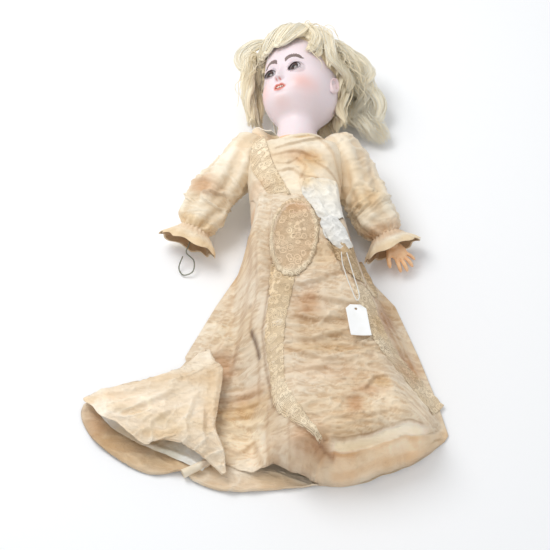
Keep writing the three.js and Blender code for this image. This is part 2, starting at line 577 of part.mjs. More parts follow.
function buildTicket() {
  const [x, y] = TAG.at;
  const height = skirtHeight(x, y) + TAG.lift;
  const shape = new THREE.Shape();
  const [w, l, cut] = [TAG.width / 2, TAG.length / 2, 6];
  const corners = [[-w, -l], [w, -l], [w, l - cut], [w - cut, l], [cut - w, l], [-w, l - cut]];
  corners.forEach((p, i) => (i ? shape.lineTo(...p) : shape.moveTo(...p)));
  shape.holes.push(new THREE.Path().absarc(0, l - 6, 1.8, 0, 2 * Math.PI, true));
  const tag = place(doll, [x, y, height]);
  tag.rotation.set(rad(-2), rad(14), rad(8), 'ZXY');
  const loop = [
    [52, -2, 6.8], [53, -16, 6.8], [58, -34, 6], [63, -50, 8.5], [66, -60, 11], [68.6, -65, 12.6],
    [71, -60, 11.4], [70, -49, 8.5], [66, -32, 6], [61.5, -16, 6.8], [58, -3, 6.8],
  ];
  const route = loop.map(([px, py, lift]) => [px, py, skirtHeight(px, py) + lift]);
  put(doll, 'ticket_string', wire(route, STRING / 2, 8, 36), cotton);
  const card3d = { depth: TAG.thick, bevelEnabled: false, curveSegments: 6 };
  put(tag, 'price_ticket', new THREE.ExtrudeGeometry(shape, card3d), card);
}

buildTorso();
const neck = buildHead();
buildWig(neck);
const leftArm = buildArm('left');
const rightArm = buildArm('right');
buildHand(leftArm);
buildWireLoop(rightArm);
buildLeg('left');
buildLeg('right');
buildBodice();
overBodice('lace_strap', [[-46, 176], [-4, 84]], [[-68, 160], [-46, 84]], GAP, 6, lace);
buildSkirt();
buildTrain();
buildTrimmings();
buildTicket();

// The origin goes under the middle of the whole doll, on the surface it lies on.
const middle = new THREE.Box3().setFromObject(root, true).getCenter(new THREE.Vector3());
doll.position.set(-middle.x, -middle.y, 0);

export default root;
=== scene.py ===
"""An antique bisque-head doll in a trained satin gown, lying on its back, built round the CAD frame.

Shapes are worked out in millimetres in the doll's own frame (X to its left, Y to its crown, Z up),
which make() moves into the frame's metres.
"""
import itertools
import json
import math

import bmesh
import bpy
import numpy as np
from mathutils import Matrix, Vector


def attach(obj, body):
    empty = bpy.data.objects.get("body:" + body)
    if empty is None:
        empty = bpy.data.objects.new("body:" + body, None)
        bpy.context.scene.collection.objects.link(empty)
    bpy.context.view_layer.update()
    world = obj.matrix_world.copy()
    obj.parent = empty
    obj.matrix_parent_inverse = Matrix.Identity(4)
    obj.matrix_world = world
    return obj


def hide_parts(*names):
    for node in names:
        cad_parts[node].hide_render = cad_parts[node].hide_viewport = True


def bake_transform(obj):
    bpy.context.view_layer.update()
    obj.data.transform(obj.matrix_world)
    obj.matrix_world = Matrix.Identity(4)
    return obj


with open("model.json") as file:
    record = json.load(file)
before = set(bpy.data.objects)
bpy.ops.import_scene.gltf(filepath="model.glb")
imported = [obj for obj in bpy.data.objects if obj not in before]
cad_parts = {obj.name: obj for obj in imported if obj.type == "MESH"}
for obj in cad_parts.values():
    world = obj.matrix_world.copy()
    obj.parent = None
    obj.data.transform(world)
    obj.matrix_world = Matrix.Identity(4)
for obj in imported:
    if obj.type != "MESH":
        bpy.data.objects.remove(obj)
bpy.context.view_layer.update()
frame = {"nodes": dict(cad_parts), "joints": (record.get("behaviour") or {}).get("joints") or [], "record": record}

# ---- the frame ------------------------------------------------------------
MM = 0.001
NECK_AT = np.array([2.0, 188.0, 50.0])  # neck pivot in the doll's own frame
JOINTS = {joint["name"]: joint for joint in frame["joints"]}


def pivot(name):
    return np.array(JOINTS[name]["pos_m"], float)


def axis(name):
    return np.array(JOINTS[name]["axis"], float)


ORIGIN = pivot("neck_turn") - NECK_AT * MM


HEAD_AXES = np.column_stack([axis("head_nod"), axis("neck_turn"),
                             np.cross(axis("head_nod"), axis("neck_turn"))])


def from_head(points):
    """Head millimetres (left, up, forward from the neck pivot) to the doll's own."""
    return np.asarray(points, float) @ HEAD_AXES.T + NECK_AT


# ---- numbers --------------------------------------------------------------
def mix(a, b, t):
    return a + (b - a) * t


def smooth(low, high, x):
    t = np.clip((x - low) / (high - low), 0, 1)
    return t * t * (3 - 2 * t)


def bell(x, middle, width):
    return np.exp(-((x - middle) / width) ** 2)


def noise(points, seed=0):
    """Smooth noise from -1 to 1 at an (n, 3) array of points."""
    points = np.asarray(points, float)
    cell = np.floor(points).astype(np.int64)
    part = points - cell
    fade = part ** 3 * (part * (part * 6 - 15) + 10)
    total = np.zeros(len(points))
    for corner in itertools.product((0, 1), repeat=3):
        c = cell + corner
        h = (c[:, 0] * 73856093) ^ (c[:, 1] * 19349663) ^ (c[:, 2] * 83492791) ^ (seed * 40503 + 977)
        h = ((h ^ (h >> 13)) * 1274126177) & 0xFFFFFFFF
        value = ((h ^ (h >> 16)) & 0xFFFF) / 32767.5 - 1
        weight = np.prod(np.where(corner, fade, 1 - fade), axis=1)
        total += weight * value
    return total


def layered(points, seed=0, octaves=3):
    """Noise at several scales, each half the size and height of the last."""
    points = np.asarray(points, float)
    return sum(noise(points * 2 ** k + 17.3 * k, seed + k) / 2 ** k for k in range(octaves))


def turns(count):
    """Angles spaced evenly once round, without the last, which would be the first again."""
    return np.linspace(0, 2 * np.pi, count + 1)[:-1]


def curve(xs, ys, x):
    """A smooth curve through points, whose slope at each comes from its neighbours."""
    xs, ys, x = (np.asarray(a, float) for a in (xs, ys, x))
    slope = np.gradient(ys, xs)
    k = np.clip(np.searchsorted(xs, x) - 1, 0, len(xs) - 2)
    h = xs[k + 1] - xs[k]
    t = np.clip((x - xs[k]) / h, 0, 1)
    a, b = ys[k], ys[k + 1]
    return ((2 * t ** 3 - 3 * t ** 2 + 1) * a + (t ** 3 - 2 * t ** 2 + t) * h * slope[k]
            + (-2 * t ** 3 + 3 * t ** 2) * b + (t ** 3 - t ** 2) * h * slope[k + 1])


def spline(points, count):
    """Points spaced evenly in parameter along a Catmull-Rom line through points."""
    points = np.asarray(points, float)
    padded = np.vstack([2 * points[0] - points[1], points, 2 * points[-1] - points[-2]])
    s = np.linspace(0, len(points) - 1 - 1e-9, count)
    k = s.astype(int)
    t = (s - k)[:, None]
    a, b, c, d = (padded[k + i] for i in range(4))
    return 0.5 * (2 * b + (c - a) * t + (2 * a - 5 * b + 4 * c - d) * t ** 2
                  + (3 * b - a - 3 * c + d) * t ** 3)


# ---- meshes ---------------------------------------------------------------
def make(name, points, faces, body, material, nodes=(), fab=None, tint=None):
    """A smooth mesh from doll millimetres that rides on a body and stands for CAD nodes."""
    mesh = bpy.data.meshes.new(name)
    mesh.from_pydata((np.asarray(points) * MM + ORIGIN).tolist(), [], [list(map(int, f)) for f in faces])
    mesh.shade_smooth()
    store = mesh.attributes.new("rest", "FLOAT_VECTOR", "POINT")
    store.data.foreach_set("vector", np.asarray(points, float).ravel())
    if fab is not None:
        store = mesh.attributes.new("fab", "FLOAT_VECTOR", "POINT")
        store.data.foreach_set("vector", np.asarray(fab, float).ravel())
    tint = np.ones((len(points), 3)) if tint is None else np.asarray(tint)[:, :3]
    store = mesh.attributes.new("tint", "FLOAT_COLOR", "POINT")
    store.data.foreach_set("color", np.column_stack([tint, np.ones(len(tint))]).ravel())
    obj = bpy.data.objects.new(name, mesh)
    bpy.context.scene.collection.objects.link(obj)
    mesh.materials.append(material)
    if body:
        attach(obj, body)
    if nodes:
        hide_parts(*nodes)
    return obj


def settle(obj, *modifiers):
    """Adds modifiers, each (type, settings), and makes their result the object's own mesh."""
    for kind, settings in modifiers:
        modifier = obj.modifiers.new(kind.lower(), kind)
        for key, value in settings.items():
            setattr(modifier, key, value)
    evaluated = obj.evaluated_get(bpy.context.evaluated_depsgraph_get())
    mesh = bpy.data.meshes.new_from_object(evaluated)
    obj.modifiers.clear()
    old = obj.data
    obj.data = mesh
    bpy.data.meshes.remove(old)
    return obj


def grid_faces(rows, columns, wrapped=False):
    """Quads of a grid of rows x columns points, joined side to side when wrapped."""
    r, c = np.meshgrid(np.arange(rows - 1), np.arange(columns if wrapped else columns - 1), indexing="ij")
    a = r * columns + c
    b = r * columns + (c + 1) % columns
    return np.stack([a, b, b + columns, a + columns], -1).reshape(-1, 4).tolist()


def thick(points, rows, columns, thickness, wrapped=False):
    """Both faces and the rim of a cloth grid: (points, faces). The grid is its upper side."""
    grid = points.reshape(rows, columns, 3)
    du = np.gradient(grid, axis=1)
    if wrapped:
        du = np.roll(grid, -1, axis=1) - np.roll(grid, 1, axis=1)
    normal = np.cross(du, np.gradient(grid, axis=0))
    normal /= np.maximum(np.linalg.norm(normal, axis=2, keepdims=True), 1e-9)
    under = (grid - normal * thickness).reshape(-1, 3)
    count = rows * columns
    top = grid_faces(rows, columns, wrapped)
    faces = top + [[a + count, d + count, c + count, b + count] for a, b, c, d in top]
    last = (rows - 1) * columns
    for i in range(columns if wrapped else columns - 1):
        j = (i + 1) % columns
        faces += [[j, i, i + count, j + count], [last + i, last + j, last + j + count, last + i + count]]
    if not wrapped:
        for r in range(rows - 1):
            a, b = r * columns, (r + 1) * columns
            faces += [[a, b, b + count, a + count]]
            a, b = a + columns - 1, b + columns - 1
            faces += [[b, a, a + count, b + count]]
    return np.vstack([points, under]), faces


def cloth(name, grid, body, material, nodes=(), thickness=0.7, wrapped=False, fab=None, outward=1, tint=None):
    """A cloth piece from a (rows, columns, 3) grid whose normal is du x dv times outward."""
    rows, columns = grid.shape[:2]
    if outward < 0:
        grid = grid[:, ::-1]
        fab = None if fab is None else fab[:, ::-1]
    points, faces = thick(grid.reshape(-1, 3), rows, columns, thickness, wrapped)
    if fab is None:
        v, u = np.meshgrid(np.arange(rows), np.arange(columns), indexing="ij")
        fab = np.stack([u, v, 0 * u], -1)
    fab = np.vstack([fab.reshape(-1, 3)] * 2)
    if tint is not None:
        tint = (tint[:, ::-1] if outward < 0 else tint).reshape(-1, 3)
        tint = np.vstack([tint, tint])
    return make(name, points, faces, body, material, nodes, fab, tint)


def tube(path, radius, sides, flat=1.0):
    """A round or flattened tube, closed at its ends, along a path: (points, faces, fab)."""
    path = np.asarray(path, float)
    count = len(path)
    radius = np.broadcast_to(radius, count)
    forward = np.gradient(path, axis=0)
    forward /= np.linalg.norm(forward, axis=1, keepdims=True)
    side = np.cross(forward, [0, 0, 1.0])
    weak = np.linalg.norm(side, axis=1) < 1e-3
    side[weak] = np.cross(forward[weak], [1.0, 0.01, 0])
    side /= np.linalg.norm(side, axis=1, keepdims=True)
    rise = np.cross(side, forward)
    angle = np.linspace(0, 2 * np.pi, sides, endpoint=False)
    ring = side[:, None] * np.cos(angle)[None, :, None] + rise[:, None] * np.sin(angle)[None, :, None] * flat
    points = (path[:, None] + ring * radius[:, None, None]).reshape(-1, 3)
    faces = grid_faces(count, sides, True)
    length = np.concatenate([[0], np.cumsum(np.linalg.norm(np.diff(path, axis=0), axis=1))])
    fab = np.stack(np.broadcast_arrays(angle[None], length[:, None], np.zeros((count, 1))), -1).reshape(-1, 3)
    points = np.vstack([points, path[:1], path[-1:]])
    fab = np.vstack([fab, [[0, 0, 0]], [[0, length[-1], 0]]])
    first, last = count * sides, count * sides + 1
    for i in range(sides):
        j = (i + 1) % sides
        faces.append([first, j, i])
        faces.append([last, (count - 1) * sides + i, (count - 1) * sides + j])
    return points, faces, fab


def gather(pieces):
    """Several (points, faces, fab) as one."""
    points, faces, fabs, start = [], [], [], 0
    for p, f, q in pieces:
        points.append(p)
        fabs.append(q)
        faces += [[i + start for i in face] for face in f]
        start += len(p)
    return np.vstack(points), faces, np.vstack(fabs)


# ---- materials ------------------------------------------------------------
class Paint:
    """A material being made: its node tree and short ways to add to it."""

    def __init__(self, slot, rough=0.6, **inputs):
        self.mat = bpy.data.materials.new(slot)
        self.mat["slot"] = slot
        self.mat.use_nodes = True
        self.tree = self.mat.node_tree
        self.shader = self.tree.nodes["Principled BSDF"]
        self.shader.inputs["Roughness"].default_value = rough
        for key, value in inputs.items():
            self.shader.inputs[key.replace("_", " ")].default_value = value

    def node(self, kind, inputs=None, **settings):
        made = self.tree.nodes.new("ShaderNode" + kind)
        for key, value in settings.items():
            setattr(made, key, value)
        for key, value in (inputs or {}).items():
            if isinstance(value, bpy.types.NodeSocket):
                self.tree.links.new(value, made.inputs[key])
            else:
                made.inputs[key].default_value = value
        return made

    def spot(self, name="rest"):
        """Where a point lies, in millimetres: over the doll (rest) or over the cloth (fab)."""
        return self.node("Attribute", attribute_name=name).outputs["Vector"]

    def tint(self):
        return self.node("Attribute", attribute_name="tint").outputs["Color"]

    def noise(self, scale, at=None, detail=3.0, stretch=(1, 1, 1), **more):
        at = self.node("Mapping", {"Vector": at or self.spot(), "Scale": stretch}).outputs["Vector"]
        return self.node("TexNoise", {"Vector": at, "Scale": scale, "Detail": detail, **more}).outputs["Fac"]

    def band(self, value, low, high, to_low=0.0, to_high=1.0):
        return self.node("MapRange", {"Value": value, "From Min": low, "From Max": high,
                                      "To Min": to_low, "To Max": to_high}).outputs["Result"]

    def math(self, operation, a, b=0.5):
        return self.node("Math", {0: a, 1: b}, operation=operation).outputs[0]

    def blend(self, amount, a, b, how="MIX"):
        made = self.node("Mix", data_type="RGBA", blend_type=how)
        for socket, value in ((made.inputs[0], amount), (made.inputs[6], a), (made.inputs[7], b)):
            if isinstance(value, bpy.types.NodeSocket):
                self.tree.links.new(value, socket)
            else:
                socket.default_value = value
        return made.outputs[2]

    def use(self, name, value):
        self.tree.links.new(value, self.shader.inputs[name])

    def bump(self, height, strength=0.3, distance=0.001):
        made = self.node("Bump", {"Height": height, "Strength": strength, "Distance": distance})
        self.use("Normal", made.outputs["Normal"])


def rgb(red, green, blue):
    """A screen colour of 0 to 255 as a shader's linear one."""
    c = np.array([red, green, blue]) / 255
    return (*np.where(c <= 0.04045, c / 12.92, ((c + 0.055) / 1.055) ** 2.4).tolist(), 1.0)


SILK = rgb(250, 236, 214)
TAN = rgb(230, 204, 168)
BROWN = rgb(150, 104, 66)
WHITE = rgb(248, 246, 240)
BISQUE = rgb(236, 221, 224)


def aged(paint, base, stain, dark, amount):
    """Cloth colour with soft old stains, streaks and a few dark spots."""
    patches = paint.band(paint.noise(0.012, detail=4.0), 0.5 - 0.25 * amount, 0.72)
    streaks = paint.band(paint.noise(0.05, detail=5.0, stretch=(0.5, 1.6, 1)), 0.35, 0.75, 0.0, 0.75)
    colour = paint.blend(patches, base, stain)
    colour = paint.blend(paint.math("MULTIPLY", streaks, 0.6), colour, stain)
    spots = paint.band(paint.noise(0.035, detail=6.0), 0.66, 0.8, 0.0, 0.6)
    return paint.blend(spots, colour, dark)


def weave(paint, strength, distance=0.0006):
    """Fine threads, small crumples and the crosswise wrinkles of worn silk, as one height."""
    fine = paint.noise(1.6, detail=2.0)
    creases = paint.noise(0.16, detail=4.0, Distortion=1.2)
    wrinkles = paint.noise(0.22, detail=3.0, stretch=(0.45, 1.5, 1), Distortion=2.2)
    wrinkles = paint.math("ABSOLUTE", paint.math("SUBTRACT", wrinkles, 0.5))
    height = paint.math("ADD", paint.math("MULTIPLY", fine, 0.25), paint.math("MULTIPLY", creases, 1.5))
    paint.bump(paint.math("SUBTRACT", height, paint.math("MULTIPLY", wrinkles, 5.0)), strength, distance)


def bisque_paint():
    p = Paint("bisque", 0.4, Subsurface_Weight=0.12, Specular_IOR_Level=0.4)
    p.shader.inputs["Subsurface Radius"].default_value = (0.004, 0.002, 0.0015)
    p.use("Base Color", p.blend(p.band(p.noise(0.5), 0.3, 0.8, 0.0, 0.12), p.tint(), rgb(224, 204, 206)))
    p.bump(p.noise(3.0), 0.04, 0.0003)
    return p


def composition_paint():
    p = Paint("composition", 0.28, Coat_Weight=0.5, Coat_Roughness=0.15)
    worn = p.band(p.noise(0.12, detail=5.0), 0.45, 0.75)
    p.use("Base Color", p.blend(worn, rgb(250, 202, 154), rgb(236, 174, 120)))
    p.bump(p.noise(1.2), 0.08, 0.0003)
    return p


def teeth_paint():
    p = Paint("teeth", 0.12, Coat_Weight=0.4)
    p.use("Base Color", p.blend(p.noise(0.8), rgb(250, 246, 238), rgb(236, 228, 214)))
    return p


def pate_paint():
    p = Paint("pate", 0.85)
    p.use("Base Color", p.blend(p.noise(0.3, detail=6.0), rgb(190, 168, 134), rgb(160, 138, 104)))
    p.bump(p.noise(2.0), 0.2, 0.0005)
    return p


def mohair_paint():
    p = Paint("mohair", 0.5, Sheen_Weight=0.25, Subsurface_Weight=0.0)
    fibre = p.noise(1.0, at=p.spot("fab"), detail=3.0, stretch=(5.0, 0.05, 1.0))
    p.use("Base Color", p.blend(p.band(fibre, 0.3, 0.7, 0.0, 0.5), p.tint(), rgb(250, 240, 214)))
    p.bump(fibre, 0.5, 0.0006)
    return p


def eye_glass_paint():
    p = Paint("eye_glass", 0.12, Coat_Weight=0.4, Coat_Roughness=0.03)
    streak = p.band(p.noise(1.0, at=p.spot("fab"), stretch=(9.0, 0.4, 1.0)), 0.3, 0.7, 0.7, 1.3)
    p.use("Base Color", p.blend(1.0, p.tint(), p.node("CombineColor", {0: streak, 1: streak, 2: streak})
                                .outputs[0], "MULTIPLY"))
    return p


ROUGH_PAINTS = [  # slot, light colour, dark colour, roughness, how metallic
    ("lead", rgb(150, 150, 155), rgb(108, 108, 114), 0.6, 0.8),
    ("wire", rgb(150, 152, 138), rgb(104, 108, 92), 0.45, 0.9),
    ("wood", rgb(206, 170, 122), rgb(166, 126, 80), 0.7, 0.0),
    ("elastic", rgb(238, 230, 212), rgb(214, 204, 182), 0.9, 0.0)]


def rough_paint(slot, light, dark, rough, metal):
    p = Paint(slot, rough, Metallic=metal)
    p.use("Base Color", p.blend(p.noise(0.6, detail=4.0), light, dark))
    p.bump(p.noise(1.5), 0.15, 0.0004)
    return p


def satin_paint():
    p = Paint("satin", 0.42, Sheen_Weight=0.2)
    p.use("Base Color",
          p.blend(1.0, aged(p, rgb(252, 242, 222), rgb(238, 216, 182), BROWN, 0.4), p.tint(), "MULTIPLY"))
    weave(p, 0.5)
    return p


def gown_silk_paint():
    p = Paint("gown_silk", 0.5, Sheen_Weight=0.2)
    p.use("Base Color", p.blend(1.0, aged(p, SILK, TAN, BROWN, 0.55), p.tint(), "MULTIPLY"))
    weave(p, 0.6, distance=0.0008)
    return p


def cotton_paint():
    p = Paint("cotton", 0.75, Sheen_Weight=0.1)
    white = p.blend(p.band(p.noise(0.03), 0.45, 0.8, 0.0, 0.5), WHITE, rgb(236, 222, 196))
    p.use("Base Color", p.blend(1.0, white, p.tint(), "MULTIPLY"))
    weave(p, 0.5)
    return p


def string_paint():
    p = Paint("string", 0.8)
    p.use("Base Color", p.blend(p.noise(1.0), rgb(250, 249, 246), rgb(226, 222, 212)))
    twist = p.node("TexWave", {"Vector": p.spot("fab"), "Scale": 1.2}, bands_direction="DIAGONAL")
    p.bump(twist.outputs["Fac"], 0.4, 0.0003)
    return p


def ticket_card_paint():
    p = Paint("ticket_card", 0.65)
    p.use("Base Color",
          p.blend(p.band(p.noise(0.1), 0.4, 0.8, 0.0, 0.4), rgb(253, 253, 252), rgb(242, 241, 236)))
    p.bump(p.noise(1.2), 0.05, 0.0002)
    return p


def floor_paint():
    p = Paint("floor", 0.9)
    p.use("Base Color", p.blend(p.noise(2.0), rgb(252, 252, 253), rgb(249, 250, 251)))
    return p


def lace_paint():
    """Ecru machine lace: a net ground with cord scrolls and filled flowers, open between its threads."""
    p = Paint("lace", 0.8)
    at = p.spot("fab")
    net = p.node("TexVoronoi", {"Vector": at, "Scale": 0.8, "Randomness": 0.15}, feature="DISTANCE_TO_EDGE")
    threads = p.band(net.outputs["Distance"], 0.16, 0.3, 1.0, 0.0)
    bloom = p.node("TexVoronoi", {"Vector": at, "Scale": 0.12, "Randomness": 0.75}).outputs["Distance"]

    def ring(size, wide):
        away = p.math("ABSOLUTE", p.math("SUBTRACT", bloom, size))
        return p.band(away, wide, wide + 0.03, 1.0, 0.0)

    motif = p.math("MAXIMUM", p.math("MAXIMUM", ring(0.0, 0.1), ring(0.26, 0.035)), ring(0.46, 0.05))
    solid = p.math("MAXIMUM", threads, motif)
    age = p.band(p.noise(0.03, detail=4.0), 0.35, 0.7)
    colour = p.blend(age, rgb(246, 228, 198), rgb(230, 204, 166))
    colour = p.blend(p.math("MULTIPLY", motif, 0.14), colour, rgb(248, 238, 214))
    # dark brown where the lace is open between its threads: painted shade in the holes
    colour = p.blend(p.band(solid, 0.0, 1.0, 0.9, 0.0), colour, rgb(160, 130, 92))
    p.use("Base Color", p.blend(1.0, colour, p.tint(), "MULTIPLY"))
    p.bump(p.math("ADD", solid, motif), 0.6, 0.0005)
    p.use("Alpha", p.band(solid, 0.0, 0.6, 0.75, 1.0))
    return p


def make_paints():
    """Every material by the name of its slot."""
    made = [bisque_paint(), composition_paint(), teeth_paint(), pate_paint(), mohair_paint(),
            eye_glass_paint()]
    made += [rough_paint(*row) for row in ROUGH_PAINTS]
    made += [satin_paint(), gown_silk_paint(), cotton_paint(), string_paint(), ticket_card_paint()]
    made += [lace_paint(), floor_paint()]
    return {paint.mat["slot"]: paint.mat for paint in made}


# ---- camera ---------------------------------------------------------------
CAMERA_RAISED = math.radians(55)  # how steeply the camera looks down
CAMERA_AWAY, CAMERA_TARGET, CAMERA_LENS = 1900, np.array([-24.0, 0, 40]), 106.3


def add_camera():
    lens = bpy.data.cameras.new("camera")
    camera = bpy.data.objects.new("camera", lens)
    bpy.context.scene.collection.objects.link(camera)
    place = CAMERA_TARGET + CAMERA_AWAY * np.array([0, -math.cos(CAMERA_RAISED), math.sin(CAMERA_RAISED)])
    camera.location = Vector(place * MM + ORIGIN)
    camera.rotation_euler = (math.pi / 2 - CAMERA_RAISED, 0, 0)
    lens.lens = CAMERA_LENS
    lens.clip_end = 20
    bpy.context.scene.camera = camera


PAINTS = make_paints()
add_camera()


# ---- the surfaces the clothes lie on --------------------------------------
SKIRT = np.array([  # y, left edge, right edge, middle, height of its ridge, half width of the top, fall
    [81, -57, 62, 3, 90, 44, 16], [60, -60, 70, 4, 90, 46, 18], [30, -66, 80, 5, 88, 52, 22],
    [-20, -94, 118, 14, 79, 46, 44], [-90, -128, 142, 30, 66, 46, 58], [-150, -118, 160, 46, 62, 48, 62],
    [-200, -102, 172, 59, 74, 50, 62], [-224, -92, 166, 59, 72, 50, 62], [-246, -82, 150, 58, 42, 46, 60],
    [-262, -60, 112, 50, 6, 40, 60]], float)


def station(table, y):
    """A table's row at y, one column per number."""
    return [np.interp(-np.asarray(y, float), -table[:, 0], table[:, k]) for k in range(1, table.shape[1])]


def skirt_height(x, y):
    _, _, middle, ridge, flat, fall = station(SKIRT, y)
    t = np.clip((np.abs(x - middle) - flat) / fall, 0, 1)
    return 3.2 + (ridge - 3.2) * (0.5 + 0.5 * np.cos(np.pi * t)) ** 0.8


# ---- ticket and its string ------------------------------------------------
TICKET_AT, TICKET_SIZE, STRING_WIDE = np.array([69.0, -87.0]), (24.0, 42.0), 1.2


def add_ticket():
    width, length = TICKET_SIZE
    cut, eyelet, eyelet_y = 6.0, 1.8, length / 2 - 6
    outline = [(-width / 2, -length / 2), (width / 2, -length / 2), (width / 2, length / 2 - cut),
               (width / 2 - cut, length / 2), (cut - width / 2, length / 2), (-width / 2, length / 2 - cut)]
    plan = bpy.data.curves.new("ticket_outline", "CURVE")
    plan.dimensions = "2D"
    plan.fill_mode = "BOTH"
    ring = [(eyelet * math.cos(a), eyelet_y + eyelet * math.sin(a)) for a in turns(24)]
    for loop in (outline, ring):
        line = plan.splines.new("POLY")
        line.points.add(len(loop) - 1)
        line.points.foreach_set("co", [c for x, y in loop for c in (x, y, 0, 1)])
        line.use_cyclic_u = True
    plan.extrude, plan.bevel_depth, plan.bevel_resolution = 0.28, 0.12, 2
    flat = bpy.data.objects.new("flat", plan)
    bpy.context.scene.collection.objects.link(flat)
    mesh = bpy.data.meshes.new_from_object(flat.evaluated_get(bpy.context.evaluated_depsgraph_get()))
    bpy.data.objects.remove(flat)
    work = bmesh.new()
    work.from_mesh(mesh)
    bmesh.ops.triangulate(work, faces=work.faces)
    bmesh.ops.subdivide_edges(work, edges=work.edges, cuts=3, use_grid_fill=True)
    bmesh.ops.remove_doubles(work, verts=work.verts, dist=0.001)
    points = np.array([v.co for v in work.verts])
    faces = [[v.index for v in f.verts] for f in work.faces]
    work.free()
    points[:, 2] += 0.9 * (points[:, 0] / width * 2) ** 2 + 0.5 * np.sin(points[:, 1] / 9)
    turn = Matrix.Rotation(math.radians(8), 3, "Z") @ Matrix.Rotation(math.radians(-2), 3, "X")
    turn = np.array(turn @ Matrix.Rotation(math.radians(14), 3, "Y"))
    centre = np.append(TICKET_AT, skirt_height(*TICKET_AT) + 10)
    ticket = make("price_ticket", points @ turn.T + centre, faces, "torso", PAINTS["ticket_card"],
                  ["price_ticket"])

    route = [(52, -2, 6.8), (53, -16, 6.8), (58, -34, 6), (63, -50, 8.5), (66, -60, 11), (68.6, -65, 12.6),
             (71, -60, 11.4), (70, -49, 8.5), (66, -32, 6), (61.5, -16, 6.8), (58, -3, 6.8)]
    path = spline([(x, y, skirt_height(x, y) + lift) for x, y, lift in route], 120)
    points, faces, fab = tube(path, STRING_WIDE / 2, 8)
    string = make("ticket_string", points, faces, "torso", PAINTS["string"], ["ticket_string"], fab=fab)
    length = np.linalg.norm(np.diff(path, axis=0), axis=1).sum()


add_ticket()


# ---- light ----------------------------------------------------------------
SKY, SKY_STRENGTH = (0.97, 0.985, 1.0, 1), 0.72
KEY_AT, KEY_TOWARD = np.array([-650.0, 520, 1250]), np.array([20, -40, 40])
KEY_WIDE, KEY_WATTS = 0.9, 11


def add_light():
    world = bpy.data.worlds.new("world")
    bpy.context.scene.world = world
    world.use_nodes = True
    world.node_tree.nodes["Background"].inputs["Color"].default_value = SKY
    world.node_tree.nodes["Background"].inputs["Strength"].default_value = SKY_STRENGTH
    key = bpy.data.lights.new("key", "AREA")
    key.shape, key.size, key.energy = "DISK", KEY_WIDE, KEY_WATTS
    lamp = bpy.data.objects.new("key", key)
    bpy.context.scene.collection.objects.link(lamp)
    lamp.location = Vector(KEY_AT * MM + ORIGIN)
    lamp.rotation_euler = Vector(KEY_TOWARD - KEY_AT).to_track_quat("-Z", "Y").to_euler()
    corners = np.array([[-2500, -2000, 0], [2500, -2000, 0], [2500, 3500, 0], [-2500, 3500, 0]], float)
    floor = make("floor", corners - [0, 0, 0.2], [[0, 1, 2, 3]], None, PAINTS["floor"])
    bpy.context.scene.view_settings.view_transform = "Standard"


add_light()


# ---- head: millimetres left, up and forward from the neck pivot -----------
HEAD = np.array([  # y, depth of the face, half width, depth of the back
    [-17, 19.6, 19.6, 19.6], [-8, 24.7, 24.7, 24.7], [2, 25.9, 25.9, 25.9], [12, 24.4, 24.4, 24.4],
    [22, 23.4, 23.6, 23.8], [28, 24.2, 24.4, 24.4], [32, 27.2, 26.6, 25.5], [36, 32.5, 29.6, 27.5],
    [41, 38.6, 33.6, 31], [46, 43.2, 37.3, 35], [52, 46, 40.4, 40], [60, 47.4, 43.2, 45],
    [70, 48, 45.4, 48.5], [80, 48.3, 46.2, 50.5], [92, 48.8, 45.6, 51], [104, 50, 45.8, 51],
    [114, 50.4, 45.4, 50.5], [122, 49.6, 44, 48.5], [130, 47.6, 41.6, 45.5], [138, 44, 37, 41],
    [146, 36.5, 30, 34], [152, 26.5, 22, 24.5], [156, 15, 13, 14], [158, 2, 2, 2]], float)
ROUND = 2.15  # squareness of a level slice through the head
EYE_AT, EYE_R = np.array([18.0, 84.5, 37.4]), 10.0
LID_R, CUT_Y = 11.2, 136.0
MOUTH_AT = np.array([0.0, 57.5])

BUMPS = [  # x, y, half width, half height, rise; each on both sides of the face
    (25, 59.5, 13, 12, 3.4), (0, 43.5, 9, 6.5, 2.0), (0, 50.2, 7, 2.2, -.9), (2.2, 54.3, 3.4, 1.6, 1.2),
    (3.0, 60.8, 2.8, 1.4, 2.2), (8.6, 57.8, 2.0, 2.0, -1.3), (0, 64.1, 1.5, 1.8, -.8),
    (18, 85.5, 11, 8.5, -3.4), (17, 98.5, 12, 3.5, 1.1), (4.5, 69.7, 2.1, 2.0, 2.8),
    (2.5, 67.2, 1.1, 1.0, -1.6), (31, 77.5, 7, 6, -.8)]
NOSE_Y = [63.5, 66, 67.5, 69, 71, 73.5, 77.5, 81.5, 85.5, 91.5, 97.5]
NOSE_RISE = [0, 1.2, 4.4, 7.6, 8.8, 7.9, 5.8, 4.2, 3.0, 1.6, 0]


def face_height(x, y):
    """How far forward the face stands at x, y."""
    depth, half, _ = (curve(HEAD[:, 0], HEAD[:, k], y) for k in (1, 2, 3))
    inside = np.clip(1 - np.abs(x / half) ** ROUND, 0, 1) ** (1 / ROUND)
    return depth * inside + face_relief(x, y) * smooth(0.1, 0.45, inside)


def face_relief(x, y):
    rise = sum(up * bell(y, my, sy) * (bell(x, mx, sx) + (bell(x, -mx, sx) if mx else 0))
               for mx, my, sx, sy, up in BUMPS)
    return rise + np.interp(y, NOSE_Y, NOSE_RISE) * bell(x, 0, 3.4 + 1.2 * bell(y, 70.5, 6))


def lidded(x, y, z):
    """The face with its eyelids, which lie round the eyeballs."""
    for side in (-1, 1):
        away = (x - side * EYE_AT[0]) ** 2 + (y - EYE_AT[1]) ** 2
        lid = EYE_AT[2] + np.sqrt(np.maximum(LID_R ** 2 - away, 0))
        lid = np.where(away < LID_R ** 2, lid, -99.0)
        t = np.clip(0.5 + 0.5 * (lid - z) / 1.1, 0, 1)
        z = np.where(lid > 0, z + (lid - z) * t + 1.1 * t * (1 - t) * 0.5, z)
    return z


